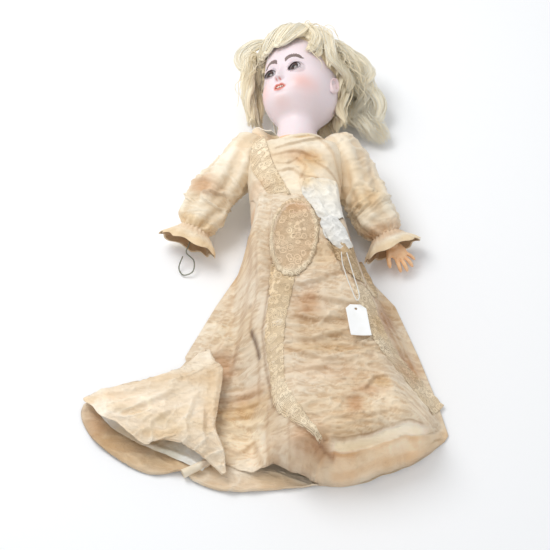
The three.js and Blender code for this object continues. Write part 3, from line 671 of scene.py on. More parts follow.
def rim_radius(angle, wide, above, below, round_by, dip=0.0):
    """Distance from its middle to the edge of an eye or mouth opening, at an angle."""
    t = np.linspace(0, 2 * np.pi, 721)
    up = np.sin(t)
    high = np.where(up > 0, above * (1 - dip * bell(np.cos(t), 0, 0.25)), below)
    x, y = wide * np.cos(t), high * np.sign(up) * np.abs(up) ** round_by
    around = np.unwrap(np.arctan2(y, x))
    return np.interp(np.mod(angle, 2 * np.pi), around, np.hypot(x, y), period=2 * np.pi)


EYE_OPENING = (8.6, 6.5, 5.2, 1.2, 0)  # half width, above, below, roundness, dip
HOLES = [  # middle, (half width, above, below, roundness, dip), how far its lining goes in, its colours
    ((EYE_AT[0], EYE_AT[1]), EYE_OPENING, 2.2, rgb(58, 36, 34)),
    ((-EYE_AT[0], EYE_AT[1]), EYE_OPENING, 2.2, rgb(58, 36, 34)),
    # the mouth's darker red goes on its deepest ring: painted shade deep in the mouth
    ((MOUTH_AT[0], MOUTH_AT[1]), (6.9, 2.5, 2.2, 1.3, .3), 7.0, rgb(150, 62, 44))]

DEEP_HOLE = 5.0  # an opening deeper than this has a lip and a closed back
HOLE_REACH, FACE_FRONT = 12, 20  # an opening is cut no further from its middle, and only in front of this
# THROAT, the very dark red at the mouth's closed back, is painted shade of the hollow head behind
LIP, THROAT = rgb(206, 88, 66), rgb(96, 34, 28)


def skin_colour(x, y, z):
    """Painted blush, lips and nose dots on pale bisque."""
    def paint(colour, amount, onto):
        return mix(onto, np.array(colour[:3]), np.clip(amount, 0, 1)[:, None])

    front = smooth(10, 25, z)
    colour = np.tile(BISQUE[:3], (len(x), 1))
    colour = paint(rgb(240, 192, 182), .8 * front * (bell(np.abs(x), 28, 12) * bell(y, 62, 12)), colour)
    colour = paint(rgb(238, 200, 190), .4 * front * bell(x, 0, 12) * bell(y, 43, 7), colour)
    # greyish lilac over the upper lids in the eye sockets: painted shade
    colour = paint(rgb(214, 196, 206), .5 * front * bell(np.abs(x), 18, 11) * bell(y, 91, 4), colour)
    lips = np.hypot((x - MOUTH_AT[0]) / 9.0,
                    (y - MOUTH_AT[1] - .1) / (5.1 - 1.0 * bell(x, 0, 2.0) * (y > 57.5)))
    colour = paint(rgb(220, 118, 98), .92 * front * smooth(1.1, .8, lips), colour)
    dots = bell(np.hypot(np.abs(x) - 2.4, y - 67.4), 0, 1.1)
    dots = dots + bell(np.hypot(np.abs(x) - 10.3, y - 83.1), 0, .8)
    return paint(rgb(206, 96, 76), front * dots, colour)


def head_grid():
    """Points of the whole head from the neck's ball to the crown, closer together over the face."""
    rows = np.concatenate([np.arange(-17, 40, 2.2), np.arange(40, 106, 0.75), np.arange(106, 157, 1.8),
                           [157.9]])
    front = np.linspace(-1, 1, 129)
    front = front * (0.72 + 0.28 * front ** 2)  # more columns near the middle of the face
    angles = np.concatenate([front * np.pi / 2, np.linspace(np.pi / 2, 3 * np.pi / 2, 46)[1:-1]])
    y, a = np.meshgrid(rows, angles, indexing="ij")
    depth, half, back = (curve(HEAD[:, 0], HEAD[:, k], y) for k in (1, 2, 3))
    c, s = np.cos(a), np.sin(a)
    x = half * np.sign(s) * np.abs(s) ** (2 / ROUND)
    inside = np.abs(c) ** (2 / ROUND)
    z = np.where(c > 0, depth, -back) * inside
    z = z + np.where(c > 0, face_relief(x, y) * smooth(0.1, 0.45, inside), 0)
    z = np.where(c > 0.15, lidded(x, y, z), z)
    return np.stack([x, y, z], -1), rows


def cut_opening(points, faces, at, shape):
    """Takes out the faces inside an opening and puts its rim on the true edge.

    Returns the faces that are left, the rim in order round the opening, its edge and its radius.
    """
    middle = points[faces].mean(axis=1)
    off = middle[:, :2] - at
    inside = (np.hypot(*off.T) < HOLE_REACH) & (middle[:, 2] > FACE_FRONT)
    radius = rim_radius(np.arctan2(off[:, 1], off[:, 0]), *shape)
    gone = inside & (np.hypot(*off.T) < radius)
    rim = np.intersect1d(faces[gone], faces[~gone])
    place = points[rim, :2] - at
    angle = np.arctan2(place[:, 1], place[:, 0])
    order = np.argsort(angle)
    rim, angle = rim[order], angle[order]
    radius = rim_radius(angle, *shape)
    edge = np.column_stack([at[0] + radius * np.cos(angle), at[1] + radius * np.sin(angle)])
    points[rim] = np.column_stack([edge, lidded(*edge.T, face_height(*edge.T))])
    return faces[~gone], rim, edge, radius


def line_opening(heights, rim, edge, radius, hole, start):
    """The lining that leads back from an opening's rim: (points, faces, colours), numbered from start."""
    at, _, deep, dark = hole
    points, faces, colours = [], [], []
    count, last = len(rim), rim
    for step, drop in [(0.3, -0.5), (0.5, -1.4), (0.6, -deep)]:  # how far in from the edge, how far back
        inner = edge + (np.array(at) - edge) * (step / radius)[:, None]
        points.append(np.column_stack([inner, heights + drop]))
        # for the mouth, its deepest ring takes the darker red: painted shade deep in the mouth
        shade = dark if deep < DEEP_HOLE or drop < -2 else LIP
        colours.append(np.tile(np.array(shade[:3]), (count, 1)))
        ring = np.arange(start, start + count)
        start += count
        faces += [[last[i], last[(i + 1) % count], ring[(i + 1) % count], ring[i]] for i in range(count)]
        last = ring
    if deep >= DEEP_HOLE:  # the mouth is closed at its back
        points.append(np.array([[*at, heights.mean() - deep]]))
        colours.append(np.array([THROAT[:3]]))
        faces += [[last[i], last[(i + 1) % count], start] for i in range(count)]
    return np.vstack(points), faces, np.vstack(colours)


def add_head():
    grid, rows = head_grid()
    count, across = grid.shape[:2]
    points = grid.reshape(-1, 3)
    faces = np.array(grid_faces(count, across, True))
    crown = faces[:, 0] >= np.searchsorted(rows, CUT_Y) * across
    lid_faces, faces = faces[crown], faces[~crown]
    colours = skin_colour(*points.T)
    linings, total = [], len(points)
    for hole in HOLES:
        at, shape, deep, dark = hole
        faces, rim, edge, radius = cut_opening(points, faces, at, shape)
        linings.append(line_opening(points[rim, 2], rim, edge, radius, hole, total))
        total += len(linings[-1][0])
        if deep < DEEP_HOLE:
            colours[rim] = dark[:3]
    everything = np.vstack([points] + [added for added, _, _ in linings])
    tints = np.vstack([colours] + [shades for _, _, shades in linings])
    every_face = faces.tolist() + [face for _, lining, _ in linings for face in lining]
    head = make("bisque_head", from_head(everything), every_face, "head", PAINTS["bisque"], ["bisque_head"],
                tint=tints)
    tidy_mesh(head)
    dome = points * np.array([0.985, 1, 0.985])
    pate = make("crown_pate", from_head(dome), lid_faces, "head", PAINTS["pate"], ["crown_pate"])
    tidy_mesh(pate)
    for side in (-1, 1):
        add_ear(side)


def add_ear(side):
    points, faces = ear_shape(side)
    colour = mix(np.array(BISQUE[:3]), np.array(rgb(236, 196, 190)[:3]), .35)
    make(f"ear_{side}", from_head(points), faces, "head", PAINTS["bisque"],
         tint=np.tile(colour, (len(points), 1)))


def tidy_mesh(obj):
    """Drops the points no face uses and turns the faces outward."""
    work = bmesh.new()
    work.from_mesh(obj.data)
    bmesh.ops.delete(work, geom=[v for v in work.verts if not v.link_faces], context="VERTS")
    bmesh.ops.recalc_face_normals(work, faces=work.faces)
    work.to_mesh(obj.data)
    work.free()


def ear_shape(side):
    """A moulded ear: a bowl with a rolled rim and a lobe."""
    r, a = np.meshgrid(np.linspace(0, 1, 15), turns(40), indexing="ij")
    lean = 0.2
    back, up = -r * np.cos(a), r * np.sin(a)
    wide = 8.6 - 1.9 * smooth(-.2, -1, up)
    rise = 3.4 * np.sqrt(np.clip(1.02 - r ** 2, 0, 1)) + 2.0 * bell(r, .8, .14) * smooth(.9, -.2, np.cos(a))
    bowl = 3.0 * bell(r, .42, .24) * smooth(-.55, .1, np.sin(a))
    rise -= bowl + 1.4 * bell(np.hypot(back + .35, up + .1), 0, .25)
    z, y = back * wide, up * 13.5
    turned = np.stack([side * (45.2 + 1.15 * rise - 2.6 * (z / 8)),
                       79 + y * math.cos(lean) + z * math.sin(lean),
                       -3.5 + z * math.cos(lean) - y * math.sin(lean)], -1)
    faces = grid_faces(15, 40, True)
    if side < 0:
        faces = [f[::-1] for f in faces]
    return turned.reshape(-1, 3), faces


# ---- brows, lashes, teeth and eyes ----------------------------------------
def on_face(xy, lift):
    x, y = np.asarray(xy, float).T
    return np.column_stack([x, y, lidded(x, y, face_height(x, y)) + lift])


def painted_stroke(start, end, wide, bend=0.3):
    """A brush stroke on the face that tapers to both ends: (points, faces)."""
    start, end = np.asarray(start, float), np.asarray(end, float)
    t = np.linspace(0, 1, 6)
    run = end - start
    across = np.array([-run[1], run[0]]) / np.linalg.norm(run)
    line = start + run * t[:, None] + across * (bend * 4 * t * (1 - t))[:, None]
    half = across * (wide / 2 * np.sqrt(np.clip(1.02 - (1.15 * t - 0.15) ** 2, 0, 1)))[:, None]
    points = np.vstack([on_face(line + half, .1), on_face(line, .16), on_face(line - half, .1)])
    return points, [[i + 6 * k, i + 1 + 6 * k, i + 7 + 6 * k, i + 6 + 6 * k] for k in range(2)
                    for i in range(5)]


BROW = np.array([(6, 95.8), (9.5, 97.8), (14, 99.4), (18.5, 99.8), (22, 99.2), (25, 98.0)])
BROW_HAIRS, LASHES = 44, 46  # on each side


def add_face_paint():
    rng = np.random.default_rng(4)
    strokes, dark = [], []
    line = spline(BROW, BROW_HAIRS)
    for side in (-1, 1):
        for k, (x, y) in enumerate(line):
            along = line[min(k + 1, BROW_HAIRS - 1)] - line[max(k - 1, 0)]
            along /= np.linalg.norm(along)
            rise = np.array([-along[1], along[0]])
            part = k / (BROW_HAIRS - 1)
            lean = mix(1.15, .35, part)
            size = 6.6 * (0.55 + 0.45 * np.sin(np.pi * min(1, (k + 6) / BROW_HAIRS)))
            way = along * np.cos(lean) + rise * np.sin(lean)
            low = np.array([x, y]) - rise * (1.0 - .5 * part) + rng.normal(0, .15, 2)
            high = low + way * size
            strokes.append(painted_stroke(low * (side, 1), high * (side, 1), 1.25, -.3 * side))
            dark.append(rgb(122, 104, 98))
        for k in range(LASHES):
            angle = mix(0.02, 2 * np.pi - .02, k / (LASHES - 1))
            up = np.sin(angle) > 0
            if abs(np.cos(angle)) > .985:
                continue
            radius = rim_radius(np.array([angle]), *EYE_OPENING)[0]
            base = np.array([np.cos(angle), np.sin(angle)]) * (radius + .3)
            fan = np.array([np.cos(angle) * .9 + .35, np.sin(angle)])
            tip = base + fan / np.linalg.norm(fan) * (2.9 if up else 2.0)
            middle = np.array([EYE_AT[0], EYE_AT[1]])
            strokes.append(painted_stroke((middle + base) * (side, 1), (middle + tip) * (side, 1), .34,
                                          .2 * side))
            dark.append(rgb(52, 34, 34))
    points, faces, fab = gather([(p, f, p) for p, f in strokes])
    tint = np.repeat(np.array([c[:3] for c in dark]), [len(p) for p, f in strokes], axis=0)
    make("face_paint", from_head(points), faces, "head", PAINTS["bisque"], fab=fab, tint=tint)


TEETH = [(-3.9, 2.0, 2.2), (-1.4, 2.6, 2.7), (1.4, 2.6, 2.7), (3.9, 2.0, 2.2)]  # x, width, height


def add_teeth():
    pieces = []
    for x, wide, tall in TEETH:
        u, v = np.meshgrid(turns(16), np.linspace(-1, 1, 9))
        c, s = np.cos(u), np.sin(u)
        square = (np.abs(c) ** 4 + np.abs(s) ** 4) ** -.25
        shrink = np.sqrt(np.clip(1.02 - np.abs(v) ** 6, 0, 1))
        tooth = np.stack([x + wide / 2 * c * square * shrink, 60.0 - tall / 2 + tall / 2 * v,
                          46.4 - .05 * x * x + 1.1 * s * square * shrink], -1)
        pieces.append((tooth.reshape(-1, 3), grid_faces(9, 16, True), tooth.reshape(-1, 3)))
    points, faces, fab = gather(pieces)
    obj = make("upper_teeth", from_head(points), faces, "head", PAINTS["teeth"], ["upper_teeth"], fab=fab)
    tidy_mesh(obj)


def add_eyes():
    """Glass eyes: white, a wide brown iris with a dark rim, and a pupil, in rings round the gaze."""
    tips = np.radians([0, 6, 12, 13, 20, 27, 32, 33.5, 36, 38, 50, 65, 80, 95, 110, 130, 150, 168, 179.9])
    shades = [rgb(12, 8, 8)] * 3 + [rgb(44, 24, 18), rgb(72, 42, 30), rgb(62, 36, 28), rgb(42, 26, 22),
                                    rgb(20, 14, 16), rgb(120, 110, 112)] + [rgb(214, 208, 212)] * 10
    around = turns(48)
    t, a = np.meshgrid(tips, around, indexing="ij")
    ball = np.stack([np.sin(t) * np.cos(a), np.sin(t) * np.sin(a), np.cos(t)], -1) * (EYE_R - .15)
    tint = np.repeat(np.array([s[:3] for s in shades]), len(around), axis=0)
    fab = np.stack([a, t * 10, 0 * a], -1).reshape(-1, 3)
    for side, name in ((-1, "right_eyeball"), (1, "left_eyeball")):
        points = ball.reshape(-1, 3) + EYE_AT * (side, 1, 1)
        eye = make(name, from_head(points), grid_faces(len(tips), 48, True), "eyes", PAINTS["eye_glass"],
                   [name],
                   fab=fab, tint=tint)
        tidy_mesh(eye)


add_head()
add_face_paint()
add_teeth()
add_eyes()


# ---- how cloth lies -------------------------------------------------------
def beside(x, y, line):
    """Distance from a line of points, above zero on the left of its direction."""
    shape = np.shape(x)
    p = np.column_stack([np.ravel(x), np.ravel(y)])
    best = np.full(len(p), 1e9)
    signed = np.zeros(len(p))
    line = np.asarray(line, float)
    for a, b in zip(line[:-1], line[1:]):
        run = b - a
        t = np.clip((p - a) @ run / (run @ run), 0, 1)
        away = np.hypot(*(p - a - t[:, None] * run).T)
        side = run[0] * (p[:, 1] - a[1]) - run[1] * (p[:, 0] - a[0])
        closer = away < best
        best[closer] = away[closer]
        signed[closer] = (np.sign(side) * away)[closer]
    return signed.reshape(shape)


def creases(x, y, wave, stretch=(1, 1), turn=0.0, seed=0, sharp=2.0):
    """Ridges from 0 to 1 that wander like the creases of worn silk."""
    shape = np.shape(x)
    c, s = math.cos(math.radians(turn)), math.sin(math.radians(turn))
    a, b = (c * x + s * y) / (wave * stretch[0]), (c * y - s * x) / (wave * stretch[1])
    flat = np.column_stack([np.ravel(a), np.ravel(b), np.full(a.size, seed * 3.7)])
    warp = layered(flat * 0.6 + 5, seed + 11, 2)
    flat[:, 0] += 0.5 * warp
    flat[:, 1] += 0.5 * np.roll(warp, 1)
    ridge = 1 - np.abs(noise(flat, seed)) * 2.2
    fine = 1 - np.abs(noise(flat * 2.1 + 9, seed + 3)) * 2.2
    return (np.clip(ridge, 0, 1) ** sharp + 0.45 * np.clip(fine, 0, 1) ** sharp).reshape(shape)


def swell(x, y, wave, seed=0):
    """Soft waves from -1 to 1."""
    flat = np.column_stack([np.ravel(x) / wave, np.ravel(y) / wave, np.full(np.size(x), seed * 5.1)])
    return layered(flat, seed, 2).reshape(np.shape(x)) * 0.8


def fold_line(x, y, line, height, wide, fade=12.0):
    """A rolled fold along a line, steep on its right and easy on its left, that dies away at its ends."""
    d = beside(x, y, line)
    line = np.asarray(line, float)
    ends = np.minimum(np.hypot(x - line[0, 0], y - line[0, 1]), np.hypot(x - line[-1, 0], y - line[-1, 1]))
    shape = np.where(d > 0, np.exp(-(np.abs(d) / wide) ** 1.6), np.exp(-(d / (0.35 * wide)) ** 2))
    return height * shape * smooth(0, fade, ends)


def tinted_toward(tint, colour, amount):
    """A tint multiplied by a colour as far as amount, from 0 to 1 at each point."""
    return mix(tint, tint * np.array(colour), amount[..., None])


def stain_and_shade_spots(x, y, spots):
    """A tint over the cloth of stains, and in places of painted shade: each spot is x, y, half width, half height,
    colour, strength.
    """
    tint = np.ones((*np.shape(x), 3))
    for sx, sy, wide, tall, colour, strength in spots:
        rag = 0.35 * swell(x, y, 14, 5) + 0.2 * swell(x, y, 5, 6)
        amount = strength * np.clip(1.25 * bell(np.hypot((x - sx) / wide, (y - sy) / tall) + rag, 0, 1), 0, 1)
        tint = tinted_toward(tint, colour, amount)
    return tint


def crease_shade_and_dirt(tint, ridges, amount=0.5):
    """A tint darkened in the hollows between ridges: painted shade in the creases, with the old dirt that stays
    there.
    """
    hollow = np.clip(1 - 1.3 * ridges, 0, 1)
    return tinted_toward(tint, (.80, .70, .58), amount * hollow)


RUST, OCHRE, SHADE, PALE = (.74, .52, .36), (.9, .76, .56), (.62, .5, .4), (1.12, 1.12, 1.14)

# ---- skirt ----------------------------------------------------------------
WAIST_Y = 82.0  # where the skirt begins
SKIRT_STRAIGHT_Y = -224  # below this height the skirt's sides run straight on
# The lower edge of the skirt's front, by how far across it is: (part of its width, y).
HEM = np.array([(0, -226), (.08, -234), (.17, -243), (.26, -238), (.34, -247), (.42, -252), (.5, -258),
                (.6, -256), (.72, -243), (.84, -233), (.93, -215), (1, -192)])
PANEL_EDGE = [(-28, 62), (-30, 20), (-25, -18), (-31, -52), (-37, -88), (-33, -130), (-24, -180), (3, -222),
              (38, -246)]
LACE_EDGE = [(58, -36), (85, -100), (116, -134), (166, -168)]


SKIRT_FOLDS = [  # lines of rolled folds, height, width
    ([(-52, 40), (-50, -10), (-60, -70), (-72, -120)], 5, 9), ([(-44, 10), (-43, -40), (-52, -74)], 4, 6),
    ([(-50, -70), (-44, -95), (-40, -118), (-40, -160)], 5.5, 7),
    ([(-30, -176), (-31, -210), (-28, -246)], 5.5, 7), ([(-6, -200), (-8, -220), (-6, -246)], 3, 6),
    ([(-87, -150), (-57, -146), (-27, -155)], 4.5, 8), ([(-87, -162), (-60, -160), (-30, -164)], 3.6, 7),
    ([(-87, -175), (-57, -171), (-27, -178)], 4.5, 8), ([(-87, -187), (-57, -184), (-29, -194)], 3.8, 7),
    ([(-84, -206), (-64, -216), (-46, -204), (-33, -246)], 4, 8), ([(62, 28), (30, 8), (-8, -2)], 3.6, 8),
    ([(66, -4), (34, -22), (0, -30)], 3.4, 7), ([(-23, -42), (4, -41), (39, -28), (60, -20)], 3.6, 7),
    ([(4, -54), (35, -58), (59, -63), (80, -60)], 4.4, 8), ([(-16, -74), (20, -82), (60, -80)], 3.4, 7),
    ([(-12, -104), (17, -107), (52, -99), (76, -104)], 4.4, 8),
    ([(-12, -116), (17, -128), (34, -134), (60, -130)], 4.2, 8),
    ([(-6, -146), (34, -142), (52, -158)], 4.0, 8),
    ([(50, -181), (73, -174), (84, -156), (104, -152)], 4.2, 7),
    ([(55, -107), (79, -115), (96, -112)], 3.6, 7), ([(14, -176), (40, -184), (70, -190)], 2.6, 8),
    ([(30, -206), (64, -214), (104, -200)], 2.4, 8), ([(86, 0), (104, -50), (128, -110)], 4.5, 9),
    ([(104, -30), (126, -86), (150, -142)], 3.5, 8), ([(100, -160), (126, -172), (150, -180)], 2.6, 8),
    ([(-64, -30), (-80, -70), (-96, -100)], 4, 9), ([(-70, -10), (-92, -60), (-108, -92)], 3.4, 9),
    ([(-58, -30), (-66, -80), (-74, -118)], 3.4, 7)]

# each slit's dark line is painted shade in its groove
SLITS = [  # line of a slit in the silk, width of its groove, of its dark line, where it fades in, and out
    ([(-25, -16), (-30, -54)], 1.8, 1.5, (-60, -48), (-8, -20)),
    ([(-51, -76), (-45, -96), (-41, -116)], 2, 1.7, (-122, -112), (-70, -80))]


def skirt_hem(u):
    """How far down the skirt's lower edge hangs, a little ragged."""
    return np.interp(u, HEM[:, 0], HEM[:, 1]) + 1.5 * np.sin(u * 40) * np.sin(u * 17)


def skirt_shape(u, v):
    """The skirt's front, u across from its right side to its left, v down to the hem."""
    hem = skirt_hem(u)
    y = mix(WAIST_Y, hem, v)
    left, right, *_ = station(SKIRT, np.maximum(y, SKIRT_STRAIGHT_Y))
    x = mix(left, right, u)
    height = skirt_height(x, np.maximum(y, -222))
    on_floor = smooth(.36, .48, u)
    low = mix(13.0, 1.6, on_floor)
    t = np.clip((y - hem) / mix(16, 34, on_floor), 0, 1)
    round_over = np.sqrt(1 - (1 - t) ** 2) ** 1.1
    z = np.where(height > low, low + (height - low) * round_over, height)
    return x, y, z, hem, mix(1, t, on_floor)


def skirt_creases(x, y):
    """The wrinkles that run across the worn silk: (broad, fine), 0 in the hollows."""
    bend = 5 * swell(x, y, 45, 17)
    return creases(x, y + bend, 17, (2.2, .62), 8, 2), creases(x, y + bend, 8, (2.2, .6), -14, 6)


def skirt_relief(x, y, u, v, roll):
    steady = smooth(0, .05, u) * smooth(1, .94, u) * smooth(-0.02, .06, v)
    rise = 3.4 * smooth(-.6, 1.2, beside(x, y, PANEL_EDGE)) * smooth(-2, 2, 8 - beside(x, y, LACE_EDGE))
    rise += 1.8 * fold_line(x, y, PANEL_EDGE, 1, 5)
    for line, height, wide in SKIRT_FOLDS:
        rise += fold_line(x, y, line, height, wide, 24)
    cross, fine = skirt_creases(x, y)
    rise += 2.3 * cross * (0.6 + .4 * smooth(0, -100, y)) + 1.1 * fine + 1.8 * swell(x, y, 34, 4)
    for line, groove, _, foot, top in SLITS:
        rise -= 5.0 * bell(beside(x, y, line), 0, groove) * smooth(*foot, y) * smooth(*top, y)
    rise -= 3.4 * smooth(.66, .6, roll)  # the front panel's own edge stands over the band below it
    rise += smooth(.62, .5, roll) * 2.2 * np.sin(roll * 26 + 1.5 * swell(x, y, 26, 8)) * smooth(0, .2, roll)
    return rise * steady


def skirt_tint(x, y, u, roll):
    cross, fine = skirt_creases(x, y)
    # darker in the hollows of the broad and fine creases: painted shade, with old dirt
    tint = crease_shade_and_dirt(np.ones((*x.shape, 3)), .85 * cross + .5 * fine, .7 * (.7 + .5 * swell(x, y, 40, 18)))
    # darker in the hollows of the fine creases: painted shade
    tint = tinted_toward(tint, (.8, .7, .6), .6 * smooth(.22, .04, fine) * smooth(.3, .6, roll))
    # darker along the steep side of each fold: painted shade
    for line, _, wide in SKIRT_FOLDS:
        away = beside(x, y, line)
        tint = tinted_toward(tint, (.74, .62, .5), .5 * bell(away, -.3 * wide, .28 * wide))
    tint = tint * stain_and_shade_spots(x, y, [
        (13, -63, 15, 16, RUST, .75), (62, -196, 8, 12, RUST, .8), (80, -176, 16, 6, RUST, .6),
        (94, -163, 10, 10, OCHRE, .9), (123, -112, 16, 16, RUST, .8), (104, -54, 9, 26, RUST, .75),
        (32, -243, 26, 7, RUST, .8), (9, -231, 20, 12, RUST, .7), (-84, -104, 13, 18, RUST, .8),
        (-60, -165, 26, 12, OCHRE, .9), (-56, -150, 24, 8, RUST, .45), (-60, -214, 22, 8, PALE, .9),
        (-46, -230, 18, 14, PALE, .8), (-24, -200, 8, 40, SHADE, .35), (-30, -30, 12, 34, SHADE, .3),
        (30, -4, 40, 16, OCHRE, .5), (60, -30, 40, 10, PALE, .6), (-62, 20, 12, 20, OCHRE, .8),
        (30, -120, 46, 6, OCHRE, .6), (40, -150, 40, 14, (1.02, .96, .93), .8),
        # the near-black brown spot at x 72, y 34 is painted shade in the gap beside the chemise
        (80, -206, 60, 22, (1.04, 1.02, 1.0), .8), (72, 34, 12, 26, (.34, .22, .13), .95),
        (134, -150, 16, 50, (1.16, 1.17, 1.16), 1), (-80, -60, 22, 26, (1.06, 1.08, 1.06), .8),
        (-62, -196, 30, 34, (1.1, 1.07, .98), 1), (96, -196, 70, 30, (1.07, 1.07, 1.05), 1)])
    across = smooth(.47, .52, u) * smooth(.93, .86, u)
    taper = .1 * np.abs(2 * smooth(.47, .93, u) - 1)
    # the bluish white band just below the front panel's turned edge is a painted satin highlight
    tint = mix(tint, np.array([1.2, 1.25, 1.36]),
               (across * smooth(.64, .6, roll) * smooth(.26 + taper, .34 + taper, roll))[..., None])
    # a dark line along the panel's turned edge above the band: painted shadow
    tint = tinted_toward(tint, (.6, .46, .34), .8 * across * bell(roll, .655, .018))
    streak = smooth(.0, .9, np.sin(roll * 24 + 2 * swell(x, y, 60, 19))) * smooth(.4, .3, roll)
    tint = tinted_toward(tint, (.84, .68, .5), .6 * streak * across)
    brown = smooth(.4, .3, roll)
    tint = tinted_toward(tint, (1.06, .94, .8), .8 * brown * (.6 + .4 * swell(x, y, 18, 3)))
    tint = tint * mix(1, 1.16, smooth(.7, .4, roll) * across)[..., None]
    # a dark line along each slit: painted shade in its groove
    for line, _, wide, *_ in SLITS:
        near = bell(beside(x, y, line), 0, wide) * (np.abs(y - np.mean([p[1] for p in line])) < 24)
        tint = tinted_toward(tint, (.3, .24, .2), near)
    # a dark line just outside the front panel's edge: painted shadow cast by the panel
    edge = beside(x, y, PANEL_EDGE)
    tint = tinted_toward(tint, (.55, .45, .36), .75 * bell(edge, -1.6, 1.6) * smooth(70, 0, y))
    return np.clip(tint, 0, 1.4)


def lay(x, y, z, thickness, name, slot, nodes=(), tint=None, fab=None, outward=1):
    grid = np.stack(np.broadcast_arrays(x, y, z), -1)
    if fab is None:
        fab = np.stack(np.broadcast_arrays(x, y, 0 * z), -1)
    return cloth(name, grid, "torso", PAINTS[slot], nodes, thickness, fab=fab, tint=tint, outward=outward)


def grid_of(rows, columns):
    v, u = np.meshgrid(np.linspace(0, 1, rows), np.linspace(0, 1, columns), indexing="ij")
    return u, v


def add_skirt():
    u, v = grid_of(240, 190)
    x, y, z, _, roll = skirt_shape(u, v)
    z = z + skirt_relief(x, y, u, v, roll)
    front = lay(x, y, np.maximum(z, 1.3), 0.7, "skirt_front", "gown_silk", ["skirt_front"],
                tint=skirt_tint(x, y, u, roll), outward=-1)
    u, v = grid_of(90, 80)
    x, y, *_ = skirt_shape(mix(.02, .98, u), v)
    z = 1.0 + .35 * swell(x, y, 24, 7)
    back = lay(x, y, z, 0.6, "skirt_back", "gown_silk", ["skirt_back"],
               tint=stain_and_shade_spots(x, y, [(60, -240, 60, 20, OCHRE, .6)]),
               outward=-1)
    u, v = grid_of(60, 60)
    x, y, z, *_ = skirt_shape(mix(.25, .75, u), mix(.18, .88, v))
    under = lay(x, y, z - 3.4 + .5 * np.sin(x / 3.2), 0.5, "petticoat", "cotton", ["petticoat"], outward=-1)
    return front, back, under


def on_skirt(x, y):
    """The skirt's finished height at x, y, found on its own grid."""
    left, right, *_ = station(SKIRT, np.maximum(y, SKIRT_STRAIGHT_Y))
    u = (x - left) / (right - left)
    v = (y - WAIST_Y) / (skirt_hem(u) - WAIST_Y)
    gx, gy, z, _, roll = skirt_shape(u, v)
    return z + skirt_relief(gx, gy, u, v, roll)


# ---- train ----------------------------------------------------------------
TRAIN_FOLD = np.array([(-100, -84, 9), (-92, -106, 15), (-83, -120, 18), (-87, -164, 20), (-90, -193, 19),
                       (-80, -222, 17), (-78, -246, 13)], float)
TRAIN_FAR = np.array([(-112, -86, 7), (-141, -118, 8), (-172, -127, 9), (-212, -139, 9), (-240, -151, 12),
                      (-229, -166, 19), (-218, -182, 23), (-200, -190, 25), (-184, -205, 25),
                      (-167, -216, 23), (-150, -210, 22), (-130, -214, 22), (-114, -222, 20), (-97, -234, 17),
                      (-82, -247, 13)], float)

TRAIN_FOLDS = [  # lines of the folds in its upper layer, height, width
    ([(-232, -152), (-196, -150), (-150, -140)], 4, 9), ([(-214, -176), (-180, -172), (-130, -150)], 4.5, 10),
    ([(-168, -212), (-160, -190), (-130, -170)], 5, 9), ([(-120, -216), (-124, -190), (-112, -150)], 4.5, 9),
    ([(-98, -230), (-104, -200), (-104, -160)], 4, 7), ([(-196, -186), (-170, -190), (-150, -176)], 3, 7)]


def train_upper():
    u, v = grid_of(170, 130)
    fold = spline(TRAIN_FOLD, 170)[:, None]
    far = spline(TRAIN_FAR, 170)[:, None]
    p = fold + (far - fold) * u[..., None]
    x, y, z = np.moveaxis(p, -1, 0)
    dome = np.sin(np.pi * np.clip(u * .9 + .05, 0, 1)) ** .8 * np.sin(np.pi * np.clip(v * 1.1, 0, 1)) ** .6
    z = z + 7 * dome
    broad = creases(x, y, 19, (1.8, .8), 24, 21)
    rise = 2.6 * broad + 1.2 * creases(x, y, 9, (2, .8), -30, 22) + 2.4 * swell(x, y, 30, 9)
    for line, height, wide in TRAIN_FOLDS:
        rise += fold_line(x, y, line, height, wide, 22)
    rise -= 1.4 * bell(u, .97, .03)
    roll = 2.6 * bell(u, .035, .03)
    z = np.maximum(z + rise + roll, 3.4)
    tint = stain_and_shade_spots(x, y, [(-140, -180, 60, 22, PALE, .6), (-200, -160, 30, 16, PALE, .8),
                      (-160, -130, 60, 9, OCHRE, .5), (-150, -205, 30, 6, OCHRE, .7),
                      (-230, -156, 16, 8, OCHRE, .6), (-95, -150, 9, 40, OCHRE, .5)])
    for arc in ([(-206, -172), (-180, -178), (-160, -192), (-140, -186), (-124, -176)],
                [(-150, -190), (-132, -200), (-112, -190), (-100, -200)]):
        net = smooth(7, 5, np.abs(beside(x, y, arc))) * (.6 + .4 * np.sin(x * 2.1) * np.sin(y * 2.1))
        tint = tinted_toward(tint, (.88, .82, .68), .6 * net)
    # whiter overall, and darker in the hollows of the broad creases: painted shade, with old dirt
    tint = crease_shade_and_dirt(tint * np.array([1.1, 1.13, 1.17]), broad, .45)
    return lay(x, y, z, 0.7, "train_upper", "gown_silk", ["train_upper"], tint=np.minimum(tint, 1.25))


TRAIN_NEAR = np.array([(-108, -92), (-96, -130), (-84, -180), (-66, -220), (-30, -236), (12, -246)], float)
TRAIN_RIM = np.array([(-122, -90), (-150, -119), (-200, -126), (-242, -156), (-231, -194), (-198, -224),
                      (-162, -242), (-126, -240), (-112, -252), (-74, -264), (-10, -260), (24, -256)], float)


